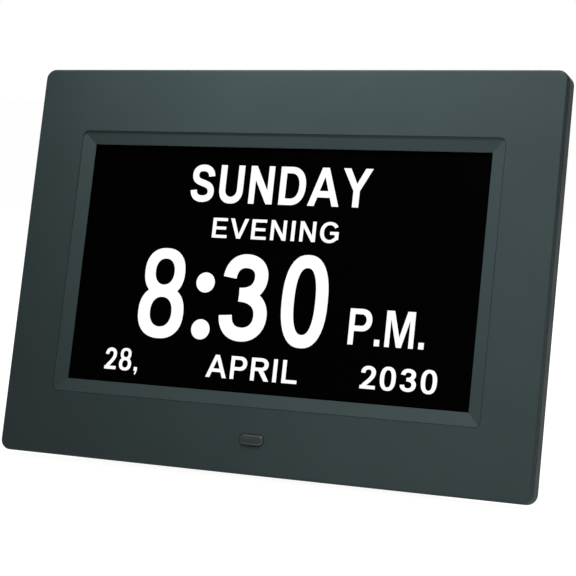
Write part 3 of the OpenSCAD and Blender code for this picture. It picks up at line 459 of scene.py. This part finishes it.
finishes["board"] = circuit_board("board")
finishes["ribbon_amber"] = ribbon_film("ribbon_amber", (0.45, 0.22, 0.03), (0.62, 0.36, 0.10), 0.5)
finishes["ribbon_white"] = ribbon_film("ribbon_white", (0.75, 0.75, 0.76), (0.55, 0.55, 0.57), 1.0)
print("Boards and ribbons added")

# %% [markdown]
# ## Screen, light guide and remote window
# A switched-on screen with a black background still has a matt anti-glare skin, which shows
# almost nothing of the room. The light guide behind it is clear acrylic with printed dots. The
# small remote-control window in the border is tinted so dark that it looks like charcoal gloss.

# %% Glass and clear plastics
def screen_skin(name):
    finish, tree, shader = new_finish(name)
    tint(tree, shader.inputs["Base Color"], noise(tree, 0.2, 1), (0.0002, 0.0002, 0.0002), 0.3)
    drift(tree, shader.inputs["Roughness"], noise(tree, 0.4, 2), 0.36, 0.42)
    shader.inputs["Specular IOR Level"].default_value = 0.03
    relief(tree, shader, noise(tree, 0.15, 2), 0.001)
    return finish


def dotted_guide(name):
    finish, tree, shader = new_finish(name)
    coordinates = tree.nodes.new("ShaderNodeTexCoord")
    dots = add_node(tree, "ShaderNodeTexVoronoi", Scale=600.0, Randomness=0.0)
    tree.links.new(coordinates.outputs["Object"], dots.inputs["Vector"])
    tint(tree, shader.inputs["Base Color"], dots.outputs["Distance"], (0.82, 0.84, 0.87), 0.1)
    drift(tree, shader.inputs["Roughness"], noise(tree, 5, 2), 0.12, 0.2)
    return finish


def tinted_window(name):
    finish, tree, shader = new_finish(name)
    tint(tree, shader.inputs["Base Color"], noise(tree, 2, 2), (0.035, 0.045, 0.047), 0.1)
    drift(tree, shader.inputs["Roughness"], noise(tree, 3, 3), 0.36, 0.42)
    shader.inputs["Specular IOR Level"].default_value = 0.5
    relief(tree, shader, noise(tree, 1.2, 2), 0.002)
    return finish


finishes["screen_glass"] = screen_skin("screen_glass")
finishes["light_plastic"] = dotted_guide("light_plastic")
finishes["window_plastic"] = tinted_window("window_plastic")
print("Finishes:", len(finishes))

# %% [markdown]
# ## Dress the solid parts
# The record names a finish for every part of the clock, so one loop dresses them all. Nothing is
# moved: the parts keep their place and their mesh, and only their material slots change.

# %% Give every part its finish
def dress(solid, finish):
    if not solid.material_slots:
        solid.data.materials.append(finish)
    for material_slot in solid.material_slots:
        material_slot.material = finish


for part in record["subparts"]:
    dress(frame["nodes"][part["node"]], finishes[part["material_slot"]])
print("Dressed", len(record["subparts"]), "parts")

# %% [markdown]
# ## Outlines that can be cut and raised
# The readout's letters, the marks on the keys and other flat details are all outlines with some
# thickness. Blender's own triangulator takes overlapping outlines and says, for each triangle,
# which of them cover it. Keeping those in a solid outline and in no hole joins strokes and cuts
# counters in one step. The flat result is then extruded to a closed solid.

# %% Flat shapes
def anticlockwise(outline):
    """The outline in the direction that the triangulator expects."""
    following = outline[1:] + outline[:1]
    twice_area = sum(a[0] * b[1] - b[0] * a[1] for a, b in zip(outline, following))
    return outline if twice_area > 0 else outline[::-1]


def flat_triangles(solids, holes):
    """Joins solid outlines, cuts the holes out and returns the points and triangles."""
    outlines = [anticlockwise(outline) for outline in list(solids) + list(holes)]
    points = [Vector(point) for outline in outlines for point in outline]
    faces = []
    start = 0
    for outline in outlines:
        faces.append(list(range(start, start + len(outline))))
        start += len(outline)
    made = delaunay_2d_cdt(points, [], faces, 0, 1e-6)
    kept = []
    for triangle, covered_by in zip(made[2], made[5]):
        in_solid = any(index < len(solids) for index in covered_by)
        in_hole = any(index >= len(solids) for index in covered_by)
        if in_solid and not in_hole:
            kept.append(list(triangle))
    return made[0], kept


def raised_mesh(name, shapes, place, low, high):
    """One mesh with every (solids, holes) shape raised from low to high. place gives each point."""
    sheet = bmesh.new()
    for solids, holes in shapes:
        points, triangles = flat_triangles(solids, holes)
        corners = [sheet.verts.new((point[0], point[1], low)) for point in points]
        for triangle in triangles:
            sheet.faces.new([corners[index] for index in triangle])
    loose = [vertex for vertex in sheet.verts if not vertex.link_faces]
    bmesh.ops.delete(sheet, geom=loose, context="VERTS")
    bmesh.ops.dissolve_limit(sheet, angle_limit=0.001, verts=sheet.verts[:], edges=sheet.edges[:])
    lifted = bmesh.ops.extrude_face_region(sheet, geom=sheet.faces[:], use_keep_orig=True)
    for item in lifted["geom"]:
        if isinstance(item, bmesh.types.BMVert):
            item.co.z = high
    for vertex in sheet.verts:
        vertex.co = place(*vertex.co)
    bmesh.ops.recalc_face_normals(sheet, faces=sheet.faces[:])
    mesh = bpy.data.meshes.new(name)
    sheet.to_mesh(mesh)
    sheet.free()
    return mesh


def add_piece(name, mesh, body, slot, finish=None):
    """Shows a mesh as a piece that moves with a body. It wears its slot's finish or one of its own."""
    mesh.materials.append(finish or finishes[slot])
    piece = bpy.data.objects.new(name, mesh)
    scene.collection.objects.link(piece)
    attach(piece, body)
    return piece


print("Shape helpers ready")

# %% [markdown]
# ## Drawing letters
# The readout uses a plain bold face without serifs. Each letter is drawn on a grid that is 100
# high. Straight letters are plain outlines. Round ones use squared-off arcs, and S, 2 and 3 are
# drawn as a pen stroke along a smooth curve with a nib that is a little wider than it is high,
# which makes upright strokes heavier than level ones, as in real bold type.

# %% Arcs and strokes
NIB_EXTRA = 0.25


def box(left, bottom, right, top):
    return [(left, bottom), (right, bottom), (right, top), (left, top)]


def arc(middle, radii, start, end, squareness=2.2, steps=14):
    """Points along an ellipse, or with squareness above 2 along a squarer curve."""
    points = []
    for step in range(steps + 1):
        turn = math.radians(start + (end - start) * step / steps)
        across = math.copysign(abs(math.cos(turn)) ** (2 / squareness), math.cos(turn))
        along = math.copysign(abs(math.sin(turn)) ** (2 / squareness), math.sin(turn))
        points.append((middle[0] + radii[0] * across, middle[1] + radii[1] * along))
    return points


def ring(middle, radii, squareness=2.2):
    return arc(middle, radii, 0, 360, squareness, 40)[:-1]


def smooth_line(points, steps=12):
    """A line along cubic curves: point, two handles, point, two handles, point and so on."""
    line = [points[0]]
    for start in range(0, len(points) - 1, 3):
        a, b, c, d = points[start:start + 4]
        for step in range(1, steps + 1):
            t = step / steps
            s = 1 - t
            weights = (s ** 3, 3 * s * s * t, 3 * s * t * t, t ** 3)
            line.append(tuple(sum(w * p[axis] for w, p in zip(weights, (a, b, c, d))) for axis in (0, 1)))
    return line


def pen_stroke(line, stem, bar):
    """The outline of a flat nib, as wide as a stem and as high as a bar, drawn along a line."""
    half_width = stem / 2 + NIB_EXTRA
    half_height = bar / 2 + NIB_EXTRA
    left = []
    right = []
    for index, (x, y) in enumerate(line):
        before = line[max(index - 1, 0)]
        after = line[min(index + 1, len(line) - 1)]
        normal = Vector((before[1] - after[1], after[0] - before[0])).normalized()
        size = math.hypot(half_width * normal.x, half_height * normal.y)
        shift = (half_width ** 2 * normal.x / size, half_height ** 2 * normal.y / size)
        left.append((x + shift[0], y + shift[1]))
        right.append((x - shift[0], y - shift[1]))
    return left + right[::-1]


print("Corner of a stroke:", len(arc((0, 0), (1, 1), 0, 90)), "points")

# %% [markdown]
# ## The letters that the readout needs
# Only the letters of one reading are drawn. Each entry gives the letter's width, its solid
# outlines and its holes. The photograph's reading isn't repeated: the same layout shows another
# plain day, hour and date. The big words are heavier than the small ones, so every letter is
# drawn from the width of its upright strokes (stem) and the height of its level ones (bar).

# %% Straight letters
def draw_m(stem):
    side = stem - 2
    foot = side / 2 + 0.25
    return [(0, 0), (0, 100), (side + 10, 100), (48.5, 32 - (20.5 - stem) * 1.7), (87 - side, 100),
        (97, 100), (97, 0), (97 - side, 0), (97 - side, 77), (48.5 + foot, 0), (48.5 - foot, 0),
        (side, 77), (side, 0)]


def draw_n(stem):
    side = stem - 1.5
    fall = 1.6
    high = 100 - (78 - side - stem + 0.5) * fall
    low = (78 - stem - side) * fall
    return [(0, 0), (0, 100), (stem - 0.5, 100), (78 - side, high), (78 - side, 100), (78, 100), (78, 0),
        (78 - stem, 0), (side, low), (side, 0)]


def draw_a(stem, bar):
    foot = stem + 1.5
    peak = 76 + (22 - foot) * 1.5
    lean = (50 - foot) / peak
    low = 39.5 - bar
    outer = [(0, 0), (50 - foot / 2, 100), (50 + foot / 2, 100), (100, 0), (100 - foot, 0),
        (100 - foot - lean * low, low), (foot + lean * low, low), (foot, 0)]
    side = foot + lean * 39.5
    return outer, [(side, 39.5), (100 - side, 39.5), (50, peak)]


def straight_letters(stem, bar):
    upright = box(0, 0, stem, 100)
    thinner = 20.5 - stem
    v_shape = [(0, 100), (stem + 1.5, 100), (46.6, 27 - thinner * 2.2), (91.5 - stem, 100), (93, 100),
        (47 + stem / 2, 0), (46 - stem / 2, 0)]
    y_shape = [(0, 100), (stem + 3, 100), (46.5, 61 - thinner * 1.2), (90 - stem, 100), (93, 100),
        (46.5 + stem / 2, 42), (46.5 + stem / 2, 0), (46.5 - stem / 2, 0), (46.5 - stem / 2, 42)]
    a_shape, a_hole = draw_a(stem, bar)
    comma = [(0, 0), (0, 18), (18, 18), (18, 4), (15, -8), (8.5, -17), (3, -12.5), (8, -7), (9, 0)]
    return {
        "I": (stem, [upright], []),
        "L": (71, [upright, box(0, 0, 71, bar)], []),
        "E": (76, [upright, box(0, 0, 76, bar), box(0, 42, 70, 42 + bar), box(0, 100 - bar, 74.5, 100)], []),
        "N": (78, [draw_n(stem)], []),
        "M": (97, [draw_m(stem)], []),
        "V": (93, [v_shape], []),
        "Y": (93, [y_shape], []),
        "A": (100, [a_shape], [a_hole]),
        ".": (18, [box(0, 0, 18, 18)], []),
        ",": (18, [comma], []),
    }


print("Straight letters:", "".join(straight_letters(20, 17)))

# %% Round letters
def round_letters(stem, bar):
    upright = box(0, 0, stem, 100)
    d_body = [(0, 0), (0, 100)] + arc((36, 50), (48, 50), 90, -90, 2.25, 24)
    d_hole = [(stem, bar), (stem, 100 - bar)] + arc((36, 50), (47 - stem, 50 - bar), 90, -90, 2.25, 24)
    p_body = [(0, 38), (0, 100)] + arc((42, 69), (35.5, 31), 90, -90, 2.2, 20)
    p_hole = [(stem, 38 + bar), (stem, 100 - bar)] + arc((42, 69), (34.5 - stem, 31 - bar), 90, -90, 2.0, 16)
    r_body = [(0, 43), (0, 100)] + arc((46, 71.5), (35.5, 28.5), 90, -90, 2.2, 20)
    r_hole = [(stem, 43 + bar), (stem, 100 - bar)]
    r_hole += arc((46, 71.5), (34.5 - stem, 28.5 - bar), 90, -90, 2.0, 16)
    r_leg = [(35, 44), (83 - stem, 0), (87.5, 0), (64, 38), (54, 49)]
    u_body = [(0, 100), (0, 37)] + arc((39.5, 37), (39.5, 38.5), 180, 360, 2.3, 24)
    u_body += [(79, 100), (79 - stem, 100)]
    u_body += arc((39.5, 37), (39.5 - stem, 37.5 - bar), 360, 180, 2.2, 20) + [(stem, 100)]
    g_ring = arc((47, 50), (47, 51.7), 33, 318, 2.15, 34)
    g_ring += arc((47, 50), (46.5 - stem, 51.5 - bar), 318, 33, 2.15, 34)
    g_corner = [(91 - stem, 13), (75, 9.5), (91, 17), (91, 54), (91 - stem, 54)]
    s_line = smooth_line([(67.5, 69), (66.5, 83), (55, 91.2), (38.5, 91.2), (22, 91.2), (13, 84), (13, 72.5),
        (13, 58), (26, 54.5), (39.5, 51), (54, 47.3), (68.3, 43), (68.3, 28), (68.3, 15.5), (57, 8.8),
        (40, 8.8), (22, 8.8), (11.5, 17), (10.5, 31.5)])
    return {
        "D": (84, [d_body], [d_hole]),
        "P": (77.5, [upright, p_body], [p_hole]),
        "R": (87.5, [upright, r_body, r_leg], [r_hole]),
        "U": (79, [u_body], []),
        "G": (91, [g_ring, g_corner, box(49, 54 - bar, 91, 54)], []),
        "S": (79, [pen_stroke(s_line, stem, bar)], []),
    }


print("Round letters:", "".join(round_letters(20, 17)))

# %% Numerals
def numerals(stem, bar):
    two = smooth_line([(11.5, 68), (12, 83.5), (21, 91.2), (34, 91.2), (48, 91.2), (56.5, 83), (56.5, 71),
        (56.5, 57), (49, 48), (38, 36), (28, 25), (19, 20), (15, 8)])
    three_top = smooth_line([(11.5, 72), (13, 85), (21.5, 91.2), (33.5, 91.2), (47, 91.2), (56, 84.5),
        (56, 74), (56, 61), (46, 53.2), (27, 53.2)])
    three_low = smooth_line([(27, 53.2), (47, 53.2), (59.5, 45), (59.5, 30.5), (59.5, 17), (49, 8.8),
        (34.5, 8.8), (20, 8.8), (11, 16.5), (10.5, 29.5)])
    zero_hole = ring((33.5, 50), (33.5 - stem, 52 - bar), 2.4)
    upper_hole = ring((34.5, 74.5), (32.5 - stem, 30 - bar), 2.2)
    lower_hole = ring((34.5, 28.5), (34.5 - stem, 32 - bar), 2.2)
    return {
        "0": (67, [ring((33.5, 50), (33.5, 51.5), 2.4)], [zero_hole]),
        "2": (67, [pen_stroke(two, stem, bar), box(1, 0, 67, bar)], []),
        "3": (70, [pen_stroke(three_top, stem, bar), pen_stroke(three_low, stem, bar)], []),
        "8": (69, [ring((34.5, 74), (30.5, 27.5), 2.3), ring((34.5, 28), (34.5, 29.8), 2.3)],
            [upper_hole, lower_hole]),
    }


def alphabet(stem, bar):
    return {**straight_letters(stem, bar), **round_letters(stem, bar), **numerals(stem, bar)}


heavy = alphabet(20, 17)
medium = alphabet(18, 15)
print("All signs:", "".join(heavy))

# %% [markdown]
# ## The readout
# The lit readout is white and has no shading, so its material only shines. A real screen is made
# of small square dots with thin dark lines between them. They can't be told apart from arm's
# length, but a close look should find them, so the light is drawn with that grid of dots.

# %% Light of the screen
SCREEN_LIGHT = 1.06
DOT_PITCH = 0.19
DOT_LINE = 0.10
BETWEEN_DOTS = 0.82


def lit_dots(name):
    finish, tree, shader = new_finish(name)
    shader.inputs["Base Color"].default_value = (0, 0, 0, 1)
    shader.inputs["Roughness"].default_value = 1.0
    shader.inputs["Specular IOR Level"].default_value = 0.0
    shader.inputs["Emission Color"].default_value = (1, 1, 1, 1)
    coordinates = tree.nodes.new("ShaderNodeTexCoord")
    axes = tree.nodes.new("ShaderNodeSeparateXYZ")
    tree.links.new(coordinates.outputs["Object"], axes.inputs[0])
    line_masks = []
    for axis in ("X", "Z"):
        scaled = tree.nodes.new("ShaderNodeMath")
        scaled.operation = "MULTIPLY"
        scaled.inputs[1].default_value = 1 / (DOT_PITCH * MM)
        tree.links.new(axes.outputs[axis], scaled.inputs[0])
        place = tree.nodes.new("ShaderNodeMath")
        place.operation = "FRACT"
        tree.links.new(scaled.outputs[0], place.inputs[0])
        line = tree.nodes.new("ShaderNodeMath")
        line.operation = "GREATER_THAN"
        line.inputs[1].default_value = DOT_LINE
        tree.links.new(place.outputs[0], line.inputs[0])
        line_masks.append(line.outputs[0])
    inside = tree.nodes.new("ShaderNodeMath")
    inside.operation = "MULTIPLY"
    for mask, socket in zip(line_masks, inside.inputs):
        tree.links.new(mask, socket)
    strength = mix_numbers(tree, inside.outputs[0], BETWEEN_DOTS * SCREEN_LIGHT, SCREEN_LIGHT)
    tree.links.new(strength, shader.inputs["Emission Strength"])
    return finish


screen_light = lit_dots("screen_light")
print("Dot pitch:", DOT_PITCH, "mm")

# %% Write the readout
glass_front = depth_of(reach("lcd_glass", to_back)[0])
glass_low, glass_high = [(value - face_bottom) / MM for value in reach("lcd_glass", up_face)]
screen_middle = (glass_low + glass_high) / 2
READOUT_HEIGHT = 0.05

# Space that a letter keeps free on its left and right. Those not listed keep STRAIGHT_SIDE on both
STRAIGHT_SIDE = 8.5
OPEN_SIDES = {"A": (1, 1), "V": (1, 1), "Y": (1, 1), "L": (STRAIGHT_SIDE, 2), "E": (STRAIGHT_SIDE, 5),
    "D": (STRAIGHT_SIDE, 5), "P": (STRAIGHT_SIDE, 4), "R": (STRAIGHT_SIDE, 1), "G": (5.5, 8), "S": (5, 5),
    "0": (4.5, 4.5), "2": (4.5, 4.5), "3": (4.5, 4.5), "8": (4.5, 4.5), ".": (6, 6), ",": (6, 6)}


def on_glass(x, y, height):
    """A point right of and above the screen's middle and off its glass, all in millimetres."""
    return spot(x, screen_middle + y, glass_front - height)


def write(name, text, letters, cap, baseline, middle=None, left=None, stretch=1.0, spacing=4):
    """Writes text on the screen: cap height, baseline above the screen's middle and place, in mm."""
    scale = cap / 100
    pen = 0.0
    shapes = []
    for sign in text:
        width, solids, holes = letters[sign]
        before, after = OPEN_SIDES.get(sign, (STRAIGHT_SIDE, STRAIGHT_SIDE))
        pen += before if shapes else 0
        shapes.append([[[((x + pen) * scale * stretch, y * scale) for x, y in outline] for outline in group]
            for group in (solids, holes)])
        end = pen + width
        pen = end + after + spacing
    length = end * scale * stretch
    start = left if middle is None else middle - length / 2

    def in_place(x, y, height):
        return on_glass(start + x, baseline + y, height)

    mesh = raised_mesh(name, shapes, in_place, 0.0, READOUT_HEIGHT)
    add_piece(name, mesh, "case", "screen_glass", screen_light)
    return round(length, 1)


WORDS = (
    ("day", "SUNDAY", heavy, dict(cap=14.0, baseline=24.05, middle=-0.8, stretch=0.86)),
    ("part_of_day", "EVENING", medium, dict(cap=7.35, baseline=11.05, middle=-0.8, stretch=1.06, spacing=8)),
    ("half_of_day", "P.M.", medium, dict(cap=12.7, baseline=-24.4, left=31.4, stretch=0.85, spacing=3)),
    ("date", "28,", medium, dict(cap=8.05, baseline=-39.8, left=-63.6, stretch=0.9, spacing=8)),
    ("month", "APRIL", medium, dict(cap=8.2, baseline=-39.75, middle=-4.0, spacing=8)),
    ("year", "2030", medium, dict(cap=8.1, baseline=-39.35, middle=51.35, stretch=1.06, spacing=9)),
)
for name, text, letters, layout in WORDS:
    print(name, "is", write("readout_" + name, text, letters, **layout), "mm wide")

# %% The big hour and minutes
BIG_CAP = 32.4
BIG_BASELINE = -26.55
BIG_DIGITS = (("hour", "8", -52.1, 0.83), ("tens", "3", -19.5, 0.86), ("units", "0", 4.9, 0.81))
for name, digit, left, stretch in BIG_DIGITS:
    width = write("readout_" + name, digit, medium, BIG_CAP, BIG_BASELINE, left=left, stretch=stretch)
    print(name, "is", width, "mm wide")

# %% Two dots between hour and minutes
DOT_RADIUS = 3.7
DOTS_ACROSS = -25.9
DOT_LEVELS = (-5.6, -22.8)


def write_dots():
    dots = [([ring((DOTS_ACROSS, level), (DOT_RADIUS, DOT_RADIUS), 2.0)], []) for level in DOT_LEVELS]
    mesh = raised_mesh("readout_dots", dots, on_glass, 0.0, READOUT_HEIGHT)
    add_piece("readout_dots", mesh, "case", "screen_glass", screen_light)


write_dots()
print("Dots:", 2 * DOT_RADIUS, "mm across")

# %% [markdown]
# ## The remote-control window
# The small oblong below the screen is the window for the remote control. Its construction solid
# is a flat plug. The real lens is crowned like a pill, so light runs along its top and right
# edges. Rings of points, each one smaller and higher than the last along a quarter circle, build
# the crown. It stands a little prouder than the solid, and its summit lies to the lower left of
# its middle, so the shoulders that catch the light are the wide ones.

# %% Model the window
CROWN_RINGS = 7
CROWN_RUN = 1.5
CROWN_PROUD = 0.3
SUMMIT_LEFT = 0.9
SUMMIT_DOWN = 0.9
FLANGE_WIDTH = 1.0
FLANGE_DEPTH = 0.6
END_STEPS = 12


def pill(half_length, half_height):
    """An outline with straight long sides and round ends."""
    flat = half_length - half_height
    points = []
    for side, start in ((1, -90), (-1, 90)):
        for step in range(END_STEPS + 1):
            turn = math.radians(start + 180 * step / END_STEPS)
            points.append((side * flat + half_height * math.cos(turn), half_height * math.sin(turn)))
    return points


def window_rings(middle_x, middle_up, half_length, half_height, front, back, rise):
    """Rings from the plug's back to the top of its crown."""
    rings = [[spot(middle_x + x, middle_up + y, back) for x, y in pill(half_length, half_height)]]
    for step in range(CROWN_RINGS + 1):
        turn = math.pi / 2 * step / CROWN_RINGS
        share = 1 - math.cos(turn)
        depth = front + rise * (1 - math.sin(turn))
        summit_x = middle_x - SUMMIT_LEFT * share
        summit_up = middle_up - SUMMIT_DOWN * share
        outline = pill(half_length - CROWN_RUN * share, half_height - CROWN_RUN * share)
        rings.append([spot(summit_x + x, summit_up + y, depth) for x, y in outline])
    return rings


def loft(name, rings):
    """Skins a stack of rings and closes both ends."""
    shell = bmesh.new()
    rows = [[shell.verts.new(point) for point in outline] for outline in rings]
    for lower, upper in zip(rows, rows[1:]):
        for index in range(len(lower)):
            following = (index + 1) % len(lower)
            shell.faces.new((lower[index], lower[following], upper[following], upper[index]))
    shell.faces.new(rows[0])
    shell.faces.new(rows[-1])
    bmesh.ops.recalc_face_normals(shell, faces=shell.faces[:])
    for face in shell.faces:
        face.smooth = len(face.verts) == 4
    mesh = bpy.data.meshes.new(name)
    shell.to_mesh(mesh)
    shell.free()
    return mesh


def remote_window():
    left, right = [value / MM for value in reach("ir_window", to_right)]
    low, high = [(value - face_bottom) / MM for value in reach("ir_window", up_face)]
    front, back = [depth_of(value) for value in reach("ir_window", to_back)]
    half_length = (right - left) / 2 - FLANGE_WIDTH
    half_height = (high - low) / 2 - FLANGE_WIDTH
    middle = ((left + right) / 2, (low + high) / 2)
    top = front - CROWN_PROUD
    rise_from_border = -top
    rings = window_rings(*middle, half_length, half_height, top, back - FLANGE_DEPTH, rise_from_border)
    window = add_piece("remote_window", loft("remote_window", rings), "case", "window_plastic")
    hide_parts("ir_window")
    return half_length * 2, half_height * 2


print("Remote window:", [round(value, 2) for value in remote_window()], "mm")

# %% [markdown]
# ## The line round the surround
# In the photograph a fine dark line runs round the sunk surround. On the solid that edge is a low
# step, which only draws a line at the top, where it throws a shadow. A hair-thin dark strip on
# the border, just outside the step, closes the line. That strip is painted shade: a dark sheet
# laid all round the edge, where the shade line would fall. The edge is found on the front's own mesh:
# of all points that lie on the face, the surround's are those that keep away from the front's
# outline and from the remote window below.

# %% Draw the line
LINE_WIDTH = 0.15
LINE_HEIGHT = 0.015
OUTLINE_BAND = 12
WINDOW_BAND = 18
SAME_PLACE = 0.01
SINK = 0.02  # so deep is a thin raised detail sunk into what carries it
# Painted shade: a near-black finish for the strip that stands in for the shade line round the surround's
# edge
painted_shade_line = moulded_plastic("painted_shade_line", (0.010, 0.012, 0.012), 0.7, 0.3, 0.002, shine=0.1)


def surround_edge():
    """The surround's left, right, low and high edges and its corner radius, in millimetres."""
    front = frame["nodes"]["front_bezel"]
    half_width = reach("front_bezel", to_right)[1] / MM
    face_height = (face_top - face_bottom) / MM
    on_face = []
    for vertex in front.data.vertices:
        place = front.matrix_world @ vertex.co
        right = place.dot(to_right) / MM
        up = (place.dot(up_face) - face_bottom) / MM
        depth = depth_of(place.dot(to_back))
        inside = abs(right) < half_width - OUTLINE_BAND and WINDOW_BAND < up < face_height - OUTLINE_BAND
        if inside and abs(depth) < SAME_PLACE:
            on_face.append((right, up))
    rights = [right for right, _ in on_face]
    ups = [up for _, up in on_face]
    along_top = [right for right, up in on_face if up > max(ups) - SAME_PLACE]
    return min(rights), max(rights), min(ups), max(ups), max(rights) - max(along_top)


def rounded_box(left, right, low, high, radius):
    """A rectangle with round corners."""
    outline = []
    for x, y, start in ((right, high, 0), (left, high, 90), (left, low, 180), (right, low, 270)):
        middle = (x + (radius if x == left else -radius), y + (radius if y == low else -radius))
        outline += arc(middle, (radius, radius), start, start + 90, 2.0, 8)
    return outline


# The strip is painted shade, a dark sheet laid on the border all round the surround
def surround_line():
    left, right, low, high, radius = surround_edge()
    inner = rounded_box(left, right, low, high, radius)
    outer = rounded_box(left - LINE_WIDTH, right + LINE_WIDTH, low - LINE_WIDTH, high + LINE_WIDTH,
        radius + LINE_WIDTH)

    def on_border(x, y, height):
        return spot(x, y, -height)

    mesh = raised_mesh("surround_line", [([outer], [inner])], on_border, -SINK, LINE_HEIGHT)
    add_piece("surround_line", mesh, "case", "front_plastic", painted_shade_line)
    return [round(value, 2) for value in (left, right, low, high, radius)]


print("Surround's edges and corner:", surround_line(), "mm")

# %% [markdown]
# ## Marks on the keys
# The keys behind have plain marks that everyone knows: a ring with a line for power, three
# bars for the menu, triangles for the four directions and a bent arrow for going back. They are
# printed in pale ink, which lies on the key as a thin raised layer, and they move with the key.

# %% Draw the marks
MARK_HEIGHT = 0.08
MARK_BAR = 0.36
mark_ink = moulded_plastic("mark_ink", (0.42, 0.44, 0.44), 0.55, 0.12, 0.004)


def triangle(turn):
    """A triangle that points to the right, turned by some degrees."""
    angle = math.radians(turn)
    corners = [(1.15, 0), (-0.75, 1.1), (-0.75, -1.1)]
    return [(x * math.cos(angle) - y * math.sin(angle), x * math.sin(angle) + y * math.cos(angle))
        for x, y in corners]


def power_mark():
    outer = arc((0, -0.1), (1.25, 1.25), 125, 415, 2.0, 28)
    inner = arc((0, -0.1), (1.25 - MARK_BAR, 1.25 - MARK_BAR), 415, 125, 2.0, 28)
    return [([outer + inner], []), ([box(-MARK_BAR / 2, 0.1, MARK_BAR / 2, 1.5)], [])]


def menu_mark():
    return [([box(-1.2, level - MARK_BAR / 2, 1.2, level + MARK_BAR / 2)], []) for level in (-0.85, 0, 0.85)]


def back_mark():
    outer = arc((0.2, -0.1), (1.1, 0.95), -90, 90, 2.0, 16)
    inner = arc((0.2, -0.1), (1.1 - MARK_BAR, 0.95 - MARK_BAR), 90, -90, 2.0, 16)
    tail = box(-1.1, -1.05, 0.25, -1.05 + MARK_BAR)
    neck = box(-0.7, 0.85 - MARK_BAR, 0.25, 0.85)
    head = [(-1.4, 0.67), (-0.6, 1.35), (-0.6, -0.01)]
    return [([outer + inner, tail, neck, head], [])]


def mark_key(key, shapes):
    """Raises a mark on the outer face of a key, as read from behind."""
    node = "key_" + key
    left, right = [value / MM for value in reach(node, to_right)]
    low, high = [(value - face_bottom) / MM for value in reach(node, up_face)]
    top = depth_of(reach(node, to_back)[1])

    def on_key(x, y, height):
        return spot((left + right) / 2 - x, (low + high) / 2 + y, top + height)

    mesh = raised_mesh("mark_" + key, shapes, on_key, -SINK, MARK_HEIGHT)
    add_piece("mark_" + key, mesh, node, "label_plastic", mark_ink)


mark_key("power", power_mark())
mark_key("menu", menu_mark())
mark_key("exit", back_mark())

# Seen from behind, the clock's right is on the left, so the triangle for right points that way
for key, turn in (("right", 180), ("up", 90), ("left", 0), ("down", 270)):
    mark_key(key, [([triangle(turn)], [])])
print("Seven keys marked")

# %% [markdown]
# ## Grip on the leg
# A leg that folds flat into its bay needs a place for a fingertip. Five low half-round ribs near
# its tip give that. They are placed from the leg's own directions: the leg is open by the angle
# that the stand's joint can fold, so the face's directions turned by that angle are the leg's.

# %% Ribs on the leg
RIB_COUNT = 5
RIB_PITCH = 2.2
RIB_RADIUS = 0.35
RIB_LENGTH = 22
RIB_STEPS = 8
RIB_END_RINGS = 3
RIB_THINNEST = 0.05
RIB_SINK = 0.05
FIRST_RIB = 5

stand = joints["stand_fold"]
leg_open = math.radians(-stand["range_deg"][0])
open_turn = Matrix.Rotation(leg_open, 3, "X")
leg_down = open_turn @ -up_face
leg_out = open_turn @ to_back
pin_middle = Vector(stand["pos_m"])


def leg_rib(name, down, outer):
    """A half-round rib across the leg, with rounded ends."""
    rib = bmesh.new()
    rows = []
    end_turns = [math.pi / 2 * index / RIB_END_RINGS for index in range(RIB_END_RINGS + 1)]
    stations = [-RIB_LENGTH / 2 + RIB_RADIUS * (1 - math.cos(turn)) for turn in end_turns]
    stations += [-station for station in stations[::-1]]
    for station in stations:
        end = RIB_LENGTH / 2 - abs(station)
        radius = RIB_RADIUS * math.sqrt(max(1 - max(1 - end / RIB_RADIUS, 0) ** 2, RIB_THINNEST))
        row = []
        for step in range(RIB_STEPS + 1):
            turn = math.pi * step / RIB_STEPS
            offset = leg_down * radius * math.cos(turn) + leg_out * radius * math.sin(turn)
            row.append(pin_middle + to_right * station * MM + leg_down * down * MM + leg_out * outer * MM
                + offset * MM)
        rows.append([rib.verts.new(point) for point in row])
    for first, second in zip(rows, rows[1:]):
        for step in range(RIB_STEPS):
            rib.faces.new((first[step], first[step + 1], second[step + 1], second[step]))
        rib.faces.new((first[RIB_STEPS], first[0], second[0], second[RIB_STEPS]))
    rib.faces.new(rows[0])
    rib.faces.new(rows[-1])
    bmesh.ops.recalc_face_normals(rib, faces=rib.faces[:])
    for face in rib.faces:
        face.smooth = True
    mesh = bpy.data.meshes.new(name)
    rib.to_mesh(mesh)
    rib.free()
    add_piece(name, mesh, "stand", "rear_plastic")


leg_outer_face = (reach("stand_leg", leg_out)[1] - pin_middle.dot(leg_out)) / MM
leg_end = (reach("stand_leg", leg_down)[1] - pin_middle.dot(leg_down)) / MM
for index in range(RIB_COUNT):
    down = leg_end - FIRST_RIB - index * RIB_PITCH
    leg_rib(f"leg_rib_{index + 1}", down, leg_outer_face - RIB_SINK)
print("Leg's outer face is", round(leg_outer_face, 2), "mm behind its pin")
